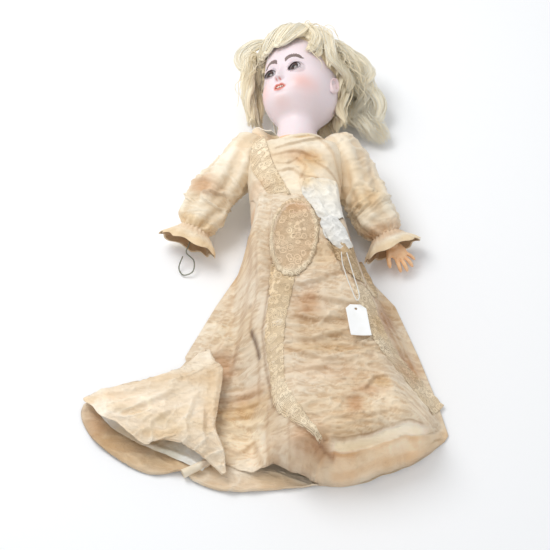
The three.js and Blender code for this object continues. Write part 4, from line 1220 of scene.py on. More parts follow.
def train_under():
    u, v = grid_of(150, 90)
    near, rim = spline(TRAIN_NEAR, 150)[:, None], spline(TRAIN_RIM, 150)[:, None]
    x, y = np.moveaxis(near + (rim - near) * u[..., None], -1, 0)
    curl = smooth(.8, .97, u) * smooth(.1, .3, v)
    broad = creases(x, y, 18, (2, .8), -20, 31)
    z = 1.1 + 1.8 * broad + 1.6 * smooth(-.2, .8, swell(x, y, 22, 12)) + 4.2 * curl
    z += 1.5 * curl * swell(x, y, 12, 14)
    z -= 3.2 * smooth(.975, 1, u) * smooth(.1, .3, v)
    # the first spot, darker brown where the upper layer opens over it, is painted shade inside the opening
    tint = stain_and_shade_spots(x, y, [(-190, -200, 50, 26, (.86, .74, .58), .9), (-150, -225, 40, 14, OCHRE, .7),
                      (-60, -255, 40, 12, PALE, .7), (-226, -180, 14, 20, RUST, .5),
                      (-30, -250, 24, 10, OCHRE, .5)])
    # darker in the hollows of the broad creases: painted shade, with old dirt
    tint = crease_shade_and_dirt(tint, broad, .5)
    return lay(x, y, np.maximum(z, .9), .6, "train_under", "gown_silk", ["train_under"], tint=tint)


def train_inner():
    u, v = grid_of(50, 80)
    a, b = np.array([(-222, -168), (-206, -186), (-176, -206), (-140, -222), (-104, -240)]), \
        np.array([(-150, -140), (-136, -160), (-124, -180), (-108, -200), (-88, -226)])
    a, b = spline(a, 80)[None], spline(b, 80)[None]
    x, y = np.moveaxis(a + (b - a) * v[..., None], -1, 0)
    z = 5.2 + 3.0 * bell(v, .12 + .05 * np.sin(9 * u), .1) + 1.4 * creases(x, y, 12, (2, .8), 40, 41) + 3 * v
    # the first spot, darker brown inside the train's opening, is painted shade
    tint = stain_and_shade_spots(x, y, [(-180, -200, 60, 20, (.80, .66, .48), .9), (-140, -215, 18, 12, (.92, .96, .9), .6)])
    return lay(x, y, z, .5, "train_inner_fold", "cotton", ["train_inner_fold"], tint=tint, outward=-1)


def train_rolled_hem():
    """The turned corner of the lining's hem, rolled into a small white tube."""
    line = spline([(-126, -243, 6), (-114, -238, 8), (-100, -231, 9.5), (-88, -227, 9)], 30)
    t, a = np.meshgrid(np.linspace(0, 1, 30), np.linspace(0, 1, 40), indexing="ij")
    turn = mix(-.6, 2 * np.pi * 1.25, a)
    size = mix(3.0, 6.0, a) * (1 - .35 * t)
    side = np.array([.45, -.9, 0])
    ring = side * np.cos(turn)[..., None] + np.array([0, 0, 1]) * np.sin(turn)[..., None]
    grid = line[:, None] + ring * size[..., None]
    grid[..., 2] = np.maximum(grid[..., 2], 2.0)
    return cloth("train_rolled_hem", grid, "torso", PAINTS["satin"], thickness=.5)


skirt_front, skirt_back, petticoat = add_skirt()
train = [train_upper(), train_under(), train_inner(), train_rolled_hem()]


# ---- trimmings on the skirt -----------------------------------------------
def upward(grid):
    """The outward sign that turns a grid's normal up."""
    return 1 if np.cross(grid[1, 1] - grid[1, 0], grid[1, 0] - grid[0, 0])[2] > 0 else -1


def strip_on_skirt(name, one, other, lift, spots, scallop=1.2, rows=120, columns=20):
    """A band of lace laid between two lines on the skirt, with stains in spots."""
    u, _ = grid_of(rows, columns)
    a, b = (spline([(*p, 0) for p in line], rows)[:, None] for line in (one, other))
    length = np.concatenate([[0], np.cumsum(np.linalg.norm(np.diff(a[:, 0], axis=0), axis=1))])[:, None]
    wide = np.linalg.norm((b - a)[:, 0], axis=1)[:, None]
    edge = scallop * np.abs(np.sin(length / 4.2))
    across = u * (1 + 2 * edge / wide) - edge / wide
    x, y, _ = np.moveaxis(a + (b - a) * across[..., None], -1, 0)
    z = on_skirt(x, y) + lift + .5 * swell(x, y, 11, 15)
    fab = np.stack([across * wide, length + 0 * u, 0 * u], -1)
    grid = np.stack([x, y, z], -1)
    return cloth(name, grid, "torso", PAINTS["lace"], [name], .35, fab=fab, tint=stain_and_shade_spots(x, y, spots),
                 outward=upward(grid))


def waist_panel():
    """The oval of net and lace at the front of the waist, with a scalloped border."""
    r, a = np.meshgrid(np.linspace(0.02, 1, 34), turns(120), indexing="ij")
    border = 1 + .035 * np.abs(np.sin(a * 11)) * smooth(.8, 1, r)
    x = -2 + 27.5 * r * border * np.cos(a) + 4 * r * np.sin(a)
    y = 20 + 51 * r * border * np.sin(a)
    z = on_skirt(x, np.minimum(y, 80)) + 1.1 + 1.2 * bell(r, .93, .05)
    z = z + .5 * np.cos(a * 34) * smooth(.8, 1, r) - .5 * smooth(.97, 1, r)
    grid = np.stack([x, y, z], -1)
    fab = grid * [1, 1, 0]
    rosy = np.tile(np.array([.87, .79, .73]), (*r.shape, 1))
    tint = mix(rosy, np.array([.94, .94, .94]), smooth(.8, .92, r)[..., None])
    tint = tint * stain_and_shade_spots(x, y, [(-5, 24, 4.5, 13, (1.22, 1.3, 1.36), 1), (4, 60, 18, 8, (1.02, .9, .84), .8),
                             (6, -4, 16, 10, PALE, .7)])
    lace = cloth("front_net_panel", grid, "torso", PAINTS["lace"], ["front_net_panel"], .35, wrapped=True,
                 fab=fab, tint=tint)
    grid[..., :2] = (grid[..., :2] - (-2, 20)) * .93 + (-2, 20)
    grid[..., 2] -= .75
    backing = cloth("net_panel_ground", grid, "torso", PAINTS["gown_silk"], thickness=.3, wrapped=True,
                    fab=fab, tint=tint * np.array([.93, .86, .8]))
    return lace, backing


def flap(name, corners, lift, slot, nodes, seed, tint=(), puff=3.0, fan=0.0, oval=0.0):
    """A loose flap at the waist, crumpled, between its first side and its third; oval rounds its corners."""
    u, v = grid_of(60, 60)
    p, q = 2 * u - 1, 2 * v - 1
    u = .5 + .5 * p * np.sqrt(1 - oval * q ** 2 / 2)
    v = .5 + .5 * q * np.sqrt(1 - oval * p ** 2 / 2)
    a, b, c, d = (np.array(corner, float) for corner in corners)
    x, y = np.moveaxis(mix(mix(a, b, u[..., None]), mix(d, c, u[..., None]), v[..., None]), -1, 0)
    x, y = x + 2.6 * swell(u * 60, v * 60, 18, seed), y + 2.6 * swell(u * 60, v * 60, 18, seed + 5)
    above = np.where(y > 81, bodice_top(x, y), 0)
    ground = np.maximum(on_skirt(x, np.minimum(y, 81)), above)
    edge = smooth(0, .12, np.minimum(np.minimum(u, 1 - u), np.minimum(v, 1 - v)))
    rise = puff * (.35 + .65 * edge) * np.sin(np.pi * np.clip(u, 0, 1)) ** .5
    rise = rise + fan * np.cos(u * 19 + 2 * v) * edge
    folds = creases(x, y, 15, (2.0, .6), -40, seed)
    rise += (3.2 * folds + 1.0 * swell(x, y, 14, seed + 2)) * (.3 + .7 * edge)
    grid = np.stack([x, y, ground + lift + np.maximum(rise, 0)], -1)
    outward = upward(grid)
    shade = mix(np.ones(3), np.array([.82, .82, .83]), (.8 * np.clip(1 - 1.4 * folds, 0, 1))[..., None])
    return cloth(name, grid, "torso", PAINTS[slot], nodes, .5, tint=shade * stain_and_shade_spots(x, y, tint), outward=outward,
                 fab=np.stack([x, y, 0 * x], -1))


def add_trimmings():
    pieces = {}
    pieces["left"] = strip_on_skirt(
        "skirt_lace_left",
        [(-28, -14), (-31, -56), (-35, -96), (-29, -146), (-24, -182), (-2, -216), (24, -238)],
        [(3, -12), (-5, -48), (-13, -88), (-15, -138), (-10, -170), (6, -204), (26, -236)],
        .55, [(0, -60, 60, 60, OCHRE, .4)])
    pieces["right"] = strip_on_skirt(
        "skirt_lace_right", [(66, -40), (74, -74), (92, -116), (120, -144), (154, -172)],
        [(86, -26), (96, -64), (110, -96), (140, -122), (167, -156)],
        .7, [(124, -128, 16, 16, RUST, .6), (96, -80, 12, 20, OCHRE, .6)], columns=26)
    pieces["band"] = strip_on_skirt(
        "waistband_lace", [(70, 40), (80, 14), (84, -10), (82, -28)],
        [(80, 44), (93, 12), (97, -6), (92, -24)],
        1.6, [(80, 20, 20, 20, OCHRE, .5)], scallop=.8, rows=60, columns=16)
    pieces["panel"], pieces["panel_ground"] = waist_panel()
    pieces["chemise"] = flap(
        "chemise", [(0, 101), (56, 104), (63, 44), (27, 40)], .6, "cotton", (), 63, puff=2.2, fan=.9, oval=.7,
        tint=[(30, 70, 60, 40, (1.06, 1.04, 1.0), .8), (8, 96, 14, 8, OCHRE, .8),
              (30, 103, 44, 13, (1.0, .92, .80), 1)])
    pieces["net"] = flap(
        "waist_net_flap", [(34, 12), (66, 12), (82, -28), (66, -34)], 1.0, "lace", (), 62, puff=2.0, fan=.3,
        oval=.4, tint=[(60, -8, 40, 40, (.80, .72, .62), .9)])
    pieces["flap"] = flap(
        "waist_flap", [(23, 46), (48, 50), (72, 4), (40, 0)], 2.2, "cotton", ["waist_flap"], 61,
        puff=3.4, fan=.3, oval=.8)
    return pieces


# ---- bodice ---------------------------------------------------------------
BODICE_RINGS = np.array([  # y, half width, lowest, highest, middle, squareness
    [192.5, 31, 19, 81, 2, 2.0], [191, 35, 17, 82.5, 2, 2.0], [187, 43, 12, 81, 1, 2.1],
    [181, 54, 7, 82.5, 0, 2.3], [174, 60, 3.5, 85, 0, 2.5], [160, 62, 1.4, 88, 0, 2.6],
    [130, 57, 1.0, 90.5, 0, 2.6], [100, 53, 1.0, 91, 0, 2.6], [78, 52, 1.0, 89, 0, 2.6],
    [68, 51.5, 1.0, 82, 0, 2.6], [54, 51, 1.0, 72, 0, 2.6]])
BODICE_FOLDS = [  # lines down the front, height, width
    ([(-23, 154), (-1, 160), (21, 169), (40, 176)], 3.2, 6), ([(-25, 144), (-1, 146), (23, 140)], 3.0, 6),
    ([(31, 170), (48, 150), (58, 114)], 5.0, 7), ([(26, 131), (39, 124), (55, 112)], 3.4, 6),
    ([(12, 108), (39, 104), (57, 107)], 3.2, 6), ([(-25, 117), (-2, 118), (14, 102)], 3.4, 6),
    ([(4, 134), (16, 120), (8, 104)], 2.8, 6), ([(-20, 130), (-10, 126), (0, 134)], 2.4, 5),
    ([(30, 96), (44, 92), (58, 94)], 2.6, 5), ([(-56, 118), (-34, 96), (-14, 86)], 2.2, 6)]


def bodice_relief(x, y):
    rise = sum(fold_line(x, y, line, height, wide, 16) for line, height, wide in BODICE_FOLDS)
    rise += 1.7 * creases(x, y, 13, (1.8, .8), 20, 51) + .9 * creases(x, y, 7, (1.8, .8), -30, 52)
    return (rise + .9 * swell(x, y, 22, 53)) * smooth(194, 186, y)


def bodice_top(x, y):
    """The bodice's finished front."""
    _, width, low, high, middle, power = (np.interp(-y, -BODICE_RINGS[:, 0], BODICE_RINGS[:, k])
                                          for k in range(6))
    side = np.minimum(np.abs(x - middle) / width, .985)
    bulge = (1 - side ** power) ** (1 / power)
    return (high + low) / 2 + (high - low) / 2 * bulge + bodice_relief(x, y) * smooth(.2, .7, bulge)


def neck_dip(y, turn):
    """How much lower the neck's edge hangs at its front and toward its right than at its back."""
    return smooth(166, 191, y) * (.5 + .5 * np.sin(turn)) * (15.0 - 7.0 * np.cos(turn))


def add_bodice():
    rows = np.concatenate([np.linspace(192.5, 181, 16), np.linspace(180, 54, 108)])
    a = turns(180)
    y, a = np.meshgrid(rows, a, indexing="ij")
    width, low, high, middle, power = (np.interp(-y, -BODICE_RINGS[:, 0], BODICE_RINGS[:, k])
                                       for k in range(1, 6))
    c, s = np.cos(a), np.sin(a)
    k = (np.abs(c) ** power + np.abs(s) ** power) ** (-1 / power)
    x, z = middle + width * c * k, (high + low) / 2 + (high - low) / 2 * s * k
    front = smooth(.05, .5, s)
    y = y - neck_dip(y, a)
    rise = bodice_relief(x, y) * front + .8 * creases(z, y, 14, (1, 1.6), 0, 54) * (1 - front)
    x, z = x + rise * c * (1 - front), np.maximum(z + rise * np.where(front > 0, np.maximum(s, .3), s), .9)
    tint = stain_and_shade_spots(x, y, [(10, 176, 26, 8, OCHRE, .7), (16, 118, 12, 24, OCHRE, .7), (-44, 96, 12, 12, RUST, .6),
                      (40, 150, 20, 14, PALE, .5), (4, 140, 22, 9, RUST, .55), (20, 136, 16, 12, OCHRE, .8),
                      (34, 96, 8, 10, RUST, .5), (0, 96, 24, 10, PALE, .8),
                      (-54, 66, 12, 16, RUST, .8), (34, 114, 30, 14, PALE, .9)])
    # darker along the steep side of each fold: painted shade
    for line, _, wide in BODICE_FOLDS:
        away = beside(x, y, line)
        tint = tinted_toward(tint, (.7, .6, .5), .8 * front * bell(away, -.3 * wide, .28 * wide))
    fab = np.stack([a * 50, y, 0 * a], -1)
    return cloth("bodice", np.stack([x, y, z], -1), "torso", PAINTS["satin"], ["bodice"], .7, wrapped=True,
                 fab=fab, tint=tint)


NECK_EDGE_Y = 191.6


def add_neckline():
    a = turns(96)
    t, b = np.meshgrid(a, turns(16), indexing="ij")
    fat = 2.7 + .25 * np.sin(t * 46 + b * 2) + .3 * np.sin(t * 3 + 1)
    ring = 32.4 + fat * np.cos(b)
    x, y, z = 2 + ring * np.cos(t), NECK_EDGE_Y + fat * np.sin(b) + .7 * np.sin(2 * t
                                                                                + 1), 50 + ring * np.sin(t)
    y = y - neck_dip(NECK_EDGE_Y, t)
    points = np.stack([x, y, z], -1).reshape(-1, 3)
    faces = []
    for i, j in itertools.product(range(96), range(16)):
        p, q = (i + 1) % 96, (j + 1) % 16
        faces.append([i * 16 + j, p * 16 + j, p * 16 + q, i * 16 + q])
    piping = make("neck_piping", points, faces, "torso", PAINTS["satin"], ["neck_piping"],
                  fab=np.stack([t * 32, b * 3, 0 * t], -1).reshape(-1, 3))
    tidy_mesh(piping)
    u, v = grid_of(24, 60)
    turn = np.radians(mix(124, 194, u) + 20 * v * u)
    tall = 2 + 23 * smooth(0, .45, u) * smooth(1.08, .8, u) * (1 + .08 * np.sin(u * 9))
    radius = 32 + 18 * v ** .8 + 1.4 * np.sin(u * 15) * v
    low = 193.2 - neck_dip(NECK_EDGE_Y, turn)
    grid = np.stack([2 + radius * np.cos(turn) - 3 * v, low + tall * v, 50 + radius * np.sin(turn)], -1)
    # the collar is tinted lighter and bluer than the satin: painted light on a collar turned from the lamp
    collar_painted_light = np.tile(np.array([1.14, 1.18, 1.28]), (*u.shape, 1))
    collar = cloth("collar_stand", grid, "torso", PAINTS["satin"], ["collar_stand"], .8, tint=collar_painted_light)
    u, v, turn, inner = u[:, :25], v[:, :25], turn[:, :25], grid[:, :25].copy()
    inner[..., 0] += -1.1 * np.cos(turn)
    inner[..., 2] += -1.1 * np.sin(turn)
    inner[..., 1] -= 1.2 * v
    mottled = 1 + .3 * swell(u * 60, v * 20, 5, 3)
    # the collar's inner side is grey: painted shade
    painted_shade_grey = np.tile(np.array([.52, .52, .50]), (*u.shape, 1)) * mottled[..., None]
    lining = cloth("collar_lining", inner, "torso", PAINTS["cotton"], thickness=.4, tint=painted_shade_grey)
    return collar, lining


def add_strap():
    """The broad lace strap from the right shoulder to the waist, on a band of silk with two tucks."""
    inner, outer = [(-38, 180), (-26, 128), (-6, 79)], [(-72, 166), (-64, 122), (-46, 79)]
    rows, columns = 110, 46
    u, v = grid_of(rows, columns)
    a, b = spline([(*p, 0) for p in inner], rows)[:, None], spline([(*p, 0) for p in outer], rows)[:, None]
    x, y, _ = np.moveaxis(a + (b - a) * u[..., None], -1, 0)
    x = np.maximum(x, -53)
    tuck = 1.8 * bell(u, .74, .05) + 1.8 * bell(u, .9, .05)
    z = bodice_top(x, y) + .9 + tuck + .4 * swell(x, y, 9, 71)
    fab = np.stack([u * 34, v * 100, 0 * u], -1)
    grid = np.stack([x, y, z], -1)
    tint = stain_and_shade_spots(x, y, [(-30, 150, 20, 20, PALE, .5), (-48, 96, 14, 14, RUST, .5)])
    ground = cloth("strap_ground", grid, "torso", PAINTS["satin"], thickness=.5, fab=fab, tint=tint * .96,
                   outward=-1)
    part = int(columns * .64)
    lace = cloth("lace_strap", (grid + [0, 0, .55])[:, :part], "torso", PAINTS["lace"], ["lace_strap"], .35,
                 fab=fab[:, :part], tint=tint[:, :part], outward=-1)
    return lace, ground


# ---- sleeves and cuffs ----------------------------------------------------
ARMS = {"left": ((57, 172, 48), (89, 107, 40), (113, 60, 24)),
        "right": ((-57, 172, 48), (-101, 114, 42), (-127, 62, 25))}
SLEEVE = np.array([  # along: 0 shoulder, 1 elbow, 2 end of the gather; half width; half depth; z
    [-.36, 13, 12, 0], [-.26, 22, 20, 0], [-.1, 26.5, 25, 0], [.1, 27.5, 26, 0], [.4, 26, 23, 0],
    [.7, 25, 21.5, 0], [1, 24.5, 20.5, 0], [1.35, 26, 20, -1], [1.6, 26, 19.5, -2], [1.82, 22.5, 17.5, -2],
    [1.94, 17.5, 15, -2], [2, 16.6, 14.6, -2]])
CUFF_LONG = 20.5
SLEEVE_STAINS = {
    "left": [(1.95, 0, .22, 3.5, RUST, .75), (1.1, 1.4, .2, .7, OCHRE, .7), (.4, 2.2, .3, .6, SHADE, .25)],
    "right": [(1.0, 1.2, .16, .8, RUST, .8), (1.9, 1.0, .16, 3, OCHRE, .7), (.2, 1.5, .2, 1.2, PALE, .8)]}


def frames(path):
    """Forward, sideways and upward directions along a path."""
    forward = np.gradient(path, axis=0)
    forward /= np.linalg.norm(forward, axis=1, keepdims=True)
    side = np.cross(forward, [0, 0, 1.0])
    side /= np.linalg.norm(side, axis=1, keepdims=True)
    return forward, side, np.cross(side, forward)


def add_sleeve(side):
    shoulder, elbow, wrist = (np.array(p, float) for p in ARMS[side])
    lower = (wrist - elbow) / np.linalg.norm(wrist - elbow)
    end = elbow + lower * 45
    t = np.linspace(-.36, 2, 150)
    upper = elbow - shoulder
    path = np.where((t < 1)[:, None], shoulder + upper * t[:, None], elbow + (end - elbow) * (t - 1)[:, None])
    soft = np.array([np.average(path, axis=0, weights=bell(t, at, .16)) for at in t])
    path = mix(path, soft, smooth(0, .3, t)[:, None] * smooth(2, 1.7, t)[:, None])
    _, across, rise = frames(path)
    width, depth, drop = (np.interp(t, SLEEVE[:, 0], SLEEVE[:, k]) for k in (1, 2, 3))
    path = path + [0, 0, 1] * drop[:, None]
    a = turns(96)
    tt, aa = np.meshgrid(t, a, indexing="ij")
    seed = 80 if side == "left" else 90
    long = np.cos(aa * 5 + 2.2 * np.sin(tt * 2 + seed)) * .9 + np.cos(aa * 9 + 3 * np.sin(tt * 3 + seed)) * .5
    gather = smooth(1.55, 1.95, tt) + .5 * smooth(.1, -.2, tt)
    pleats = np.cos(aa * 20 + 1.2 * np.sin(aa * 3)) * .75 * gather
    step_mm, radian_mm = 66, 24  # millimetres along for one step of t, and round for one radian
    down, around = tt * step_mm, aa * radian_mm
    wrinkle = creases(down, around, 15, (.7, 1.9), 20, seed)
    cross = wrinkle * (.7 + 1.2 * bell(tt, 1.02, .3))
    relief = 2.0 * long * smooth(-.3, .2, tt) + pleats + 2.5 * cross
    relief = relief + 1.8 * swell(down, around, 20, seed + 2)
    relief = relief * smooth(2.0, 1.93, tt) * smooth(-.36, -.2, tt)
    c, s = np.cos(aa), np.sin(aa)
    grid = (path[:, None] + across[:, None] * ((width[:, None] + relief) * c)[..., None]
            + rise[:, None] * ((depth[:, None] + relief) * s)[..., None])
    grid[..., 2] = np.maximum(grid[..., 2], .9)
    spots = [(sx * step_mm, sy * radian_mm, wx * step_mm, wy * radian_mm, *paint)
             for sx, sy, wx, wy, *paint in SLEEVE_STAINS[side]]
    # darker in the hollows of the wrinkles and long folds: painted shade, with old dirt
    tint = crease_shade_and_dirt(stain_and_shade_spots(down, around, spots), wrinkle + .7 * long, .6)
    fab = np.stack([around, down, 0 * aa], -1)
    sleeve = cloth(f"{side}_sleeve", grid, None, PAINTS["satin"],
                   [f"{side}_upper_sleeve", f"{side}_lower_sleeve"], .7,
                   wrapped=True, fab=fab, tint=tint)
    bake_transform(sleeve)
    return sleeve, end, lower


def add_cuff(side, at, along):
    """The bell cuff: gathered at the wrist, flared and ruffled at its end."""
    t = np.linspace(0, 1, 44)
    path = at - along * .6 + along * (t * CUFF_LONG)[:, None] + np.array([0, 0, -2.0])
    path = path + np.array([0, 0, -1.0]) * smooth(0, .5, t)[:, None]
    _, across, rise = frames(path)
    width = np.interp(t, [0, .08, .3, .78, 1], [16.2, 17.8, 23, 33, 36.5])
    depth = np.interp(t, [0, .08, .3, .78, 1], [14.2, 15, 16, 17.2, 17.6])
    a = turns(144)
    tt, aa = np.meshgrid(t, a, indexing="ij")
    seed = 101 if side == "left" else 112
    phase = 1.5 * np.sin(aa * 2 + seed)
    wave = np.cos(aa * 9 + phase) * 1.7 * smooth(.25, 1, tt) + np.cos(aa * 20) * .8 * smooth(.35, 0, tt)
    wave += 1.0 * creases(tt * 22, aa * 26, 9, (1.6, 1), 0, seed) * smooth(0, .3, tt)
    c, s = np.cos(aa), np.sin(aa)
    grid = (path[:, None] + across[:, None] * ((width[:, None] + wave) * c)[..., None]
            + rise[:, None] * ((depth[:, None] + wave * .9) * s)[..., None])
    grid += along * (1.6 * np.cos(aa * 9 + phase + .6) * smooth(.7, 1, tt))[..., None]
    grid[..., 2] = np.maximum(grid[..., 2], .9)
    tint = stain_and_shade_spots(tt * 22, aa * 26,
               [(20, 60, 8, 90, OCHRE, .7), (2, 60, 5, 120, RUST, .4 if side == "right" else .7)])
    fab = np.stack([aa * 26, tt * 22, 0 * aa], -1)
    cuff = cloth(f"{side}_cuff", grid, f"{side}_forearm", PAINTS["satin"], [f"{side}_cuff"], .6,
                 wrapped=True, fab=fab, tint=tint)
    out = grid - path[:, None]
    inside = grid - out * (1.3 / np.linalg.norm(out, axis=-1, keepdims=True))
    # the cuff's inside is dark brown: painted shade inside the bell
    brown = np.tile(np.array([.50, .36, .24]), (*aa.shape, 1))
    cloth(f"{side}_cuff_lining", inside[3:-2], f"{side}_forearm", PAINTS["satin"], thickness=.3, wrapped=True,
          fab=fab[3:-2], tint=brown[3:-2])
    return cuff


TRIM = add_trimmings()
bodice = add_bodice()
collar, collar_lining = add_neckline()
strap, strap_ground = add_strap()
sleeves, cuffs = {}, {}
for arm in ARMS:
    sleeves[arm], end, along = add_sleeve(arm)
    cuffs[arm] = add_cuff(arm, end, along)


# ---- hand, wire loop and limbs --------------------------------------------
HAND_VOXEL, LEG_VOXEL, THIGH_LONG = .00042, .0011, 108


def remember(obj):
    """Stores where each point lies again, after a modifier has made a new mesh."""
    mesh = obj.data
    flat = np.empty(len(mesh.vertices) * 3)
    mesh.vertices.foreach_get("co", flat)
    points = (flat.reshape(-1, 3) - ORIGIN) / MM
    for name, kind in (("rest", "FLOAT_VECTOR"), ("tint", "FLOAT_COLOR")):
        if name in mesh.attributes:
            mesh.attributes.remove(mesh.attributes[name])
        mesh.attributes.new(name, kind, "POINT")
    mesh.attributes["rest"].data.foreach_set("vector", points.ravel())
    mesh.attributes["tint"].data.foreach_set("color", np.ones(len(points) * 4))
    mesh.shade_smooth()


def blob(at, radii, turn=None, steps=20):
    """An ellipsoid as a piece for gather()."""
    t, a = np.meshgrid(np.linspace(.02, np.pi - .02, steps), turns(2 * steps), indexing="ij")
    p = np.stack([np.sin(t) * np.cos(a), np.sin(t) * np.sin(a), np.cos(t)], -1).reshape(-1, 3) * radii
    if turn is not None:
        p = p @ np.asarray(turn).T
    cap = [list(range(2 * steps))[::-1], [2 * steps * (steps - 1) + i for i in range(2 * steps)]]
    return p + at, [f[::-1] for f in grid_faces(steps, 2 * steps, True)] + [c[::-1] for c in cap], p


def basis(direction):
    """A limb's own axes: its -Y runs along the direction, as the CAD groups do."""
    y = -np.asarray(direction, float) / np.linalg.norm(direction)
    x = np.cross(y, [0, 0, 1.0])
    x /= np.linalg.norm(x)
    return np.column_stack([x, y, np.cross(x, y)])


def add_hand():
    wrist, tips = np.array([113.0, 60, 24]), np.array([141.0, 24, 13])
    axes = basis(tips - wrist)
    pieces = [blob((0, -15, -.5), (10.5, 12.5, 5.4)), blob((0, 0, 0), (7.2, 7.2, 7.2)),
              blob((0, -7, 0), (8, 8, 5.8)),
              blob((-6.5, -12.5, -1), (5.2, 7.5, 4.4)), blob((6, -18, -.5), (5, 8, 4.2))]
    fingers = [  # knuckle, middle joint, tip, thickness
        ((-7.2, -23, 0), (-9.6, -31, -.2), (-11.2, -37.5, -3.6), 2.55),
        ((-2.4, -25, .4), (-3.4, -34, .4), (-3.8, -41, -3.4), 2.6),
        ((2.6, -24.5, .3), (4.0, -33, .3), (5.0, -40, -3.4), 2.5),
        ((7.2, -21.5, -.2), (10.4, -28.5, -.4), (13, -34, -3.8), 2.2),
        ((-9.2, -11, -1.2), (-14.6, -17.6, -1.6), (-18, -25.5, -4.4), 2.9)]
    for knuckle, bend, tip, wide in fingers:
        path = spline([knuckle, bend, tip], 26)
        t = np.linspace(0, 1, 26)
        taper = 1.06 - .22 * t + .07 * bell(t, .5, .1) + .06 * bell(t, .82, .08)
        radius = wide * taper * np.sqrt(1.0 - smooth(.9, 1.04, t) * .75)
        p, f, q = tube(path, radius, 14)
        pieces.append((p, f, q))
        pieces.append(blob(path[-1], (radius[-1] * 1.15,) * 3, steps=8))
    points, faces, _ = gather(pieces)
    hand = make("left_hand", points @ axes.T + wrist, faces, None, PAINTS["composition"], ["left_hand"])
    settle(hand, ("REMESH", {"mode": "VOXEL", "voxel_size": HAND_VOXEL, "use_smooth_shade": True}),
           ("SMOOTH", {"factor": .5, "iterations": 7}))
    remember(hand)
    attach(hand, "left_hand")
    nails = []
    for knuckle, bend, tip, wide in fingers:
        way = np.array(tip) - bend
        way = way / np.linalg.norm(way)
        turn = basis(way)
        nails.append(blob(np.array(tip) - way * 1.6 + turn[:, 2] * wide * .62, (1.25, 1.9, .5), turn, 9))
    points, faces, _ = gather(nails)
    make("left_nails", points @ axes.T + wrist, faces, "left_hand", PAINTS["composition"])
    return hand


def limb(name, at, axes, profile, body, nodes, sides=48):
    """A turned piece: profile rows are along, half width, half depth, forward, in the limb's own axes."""
    rows = np.array(profile, float)
    order = np.linspace(0, len(rows) - 1, 8 * len(rows))
    y, width, depth, forward = (curve(np.arange(len(rows)), rows[:, k], order) for k in range(4))
    a = turns(sides)
    ring = np.stack([width[:, None] * np.cos(a), y[:, None] + 0 * a,
                     forward[:, None] + depth[:, None] * np.sin(a)], -1)
    points = np.vstack([ring.reshape(-1, 3), [[0, y[0], forward[0]], [0, y[-1], forward[-1]]]])
    faces = grid_faces(len(order), sides, True)
    last = len(order) * sides
    faces += [[last, (i + 1) % sides, i] for i in range(sides)]
    faces += [[last + 1, last - sides + i, last - sides + (i + 1) % sides] for i in range(sides)]
    obj = make(name, points @ axes.T + at, faces, body, PAINTS["composition"], nodes)
    tidy_mesh(obj)
    return obj


def ball(name, at, radius, body):
    p, f, q = blob((0, 0, 0), (radius,) * 3, steps=24)
    obj = make(name, p + at, f, body, PAINTS["composition"], [name], fab=q)
    tidy_mesh(obj)
    return obj


LEGS = {"left": ((23, 20, 41), (84, -198, 24)), "right": ((-23, 20, 41), (34, -198, 24))}


def add_limbs():
    for side, (shoulder, elbow, wrist) in ARMS.items():
        shoulder, elbow, wrist = (np.array(p, float) for p in (shoulder, elbow, wrist))
        ball(f"{side}_shoulder_ball", shoulder, 12, f"{side}_shoulder")
        ball(f"{side}_elbow_ball", elbow, 10.5, f"{side}_upper_arm")
        length, reach = np.linalg.norm(elbow - shoulder), np.linalg.norm(wrist - elbow)
        limb(f"{side}_upper_arm", shoulder, basis(elbow - shoulder),
             [[-7, 8, 8, 0], [-7, 12, 12, 0], [-15, 13.6, 13.6, 0], [-34, 13.4, 13.4, 0],
              [-length + 11, 10.8, 10.8, 0], [-length + 6, 10.6, 10.6, 0],
              [-length + 7, 8, 8, 0]], f"{side}_upper_arm", [f"{side}_upper_arm"])
        limb(f"{side}_forearm", elbow, basis(wrist - elbow),
             [[-5, 8, 8, 0], [-5, 10.2, 10, 0], [-12, 12.8, 12.2, 0], [-28, 12.2, 11.4, 0],
              [-reach + 9, 8.9, 8.3, 0], [-reach + 3, 9.2, 8.7, 0],
              [-reach + 3, 6, 6, 0]], f"{side}_forearm", [f"{side}_forearm"])
    for side, (hip, heel) in LEGS.items():
        hip, heel = np.array(hip, float), np.array(heel, float)
        axes = basis(heel - hip)
        knee = hip - axes[:, 1] * THIGH_LONG
        ball(f"{side}_hip_ball", hip, 15, f"{side}_hip")
        ball(f"{side}_knee_ball", knee, 14, f"{side}_thigh")
        limb(f"{side}_thigh", hip, axes,
             [[-8, 11, 11, 0], [-8, 14.6, 14.6, 0], [-20, 19.6, 19.6, 0], [-56, 18.4, 18.4, 0],
              [-86, 16, 16, 0], [-99, 14.3, 14.3, 0], [-99, 11, 11, 0]], f"{side}_thigh", [f"{side}_thigh"])
        add_lower_leg(side, knee, axes)
    rings = [[188, 22, 18, 48], [186, 31, 26, 48], [176, 42, 31, 47], [150, 45.6, 35, 45],
             [120, 44.6, 36, 44], [90, 40, 34, 43], [60, 43, 35, 43], [34, 48.6, 36, 44], [22, 40, 31, 44],
             [20, 30, 22, 44]]
    limb("torso", np.zeros(3), np.eye(3), rings, "torso", ["torso_front_shell", "torso_back_shell"], sides=72)


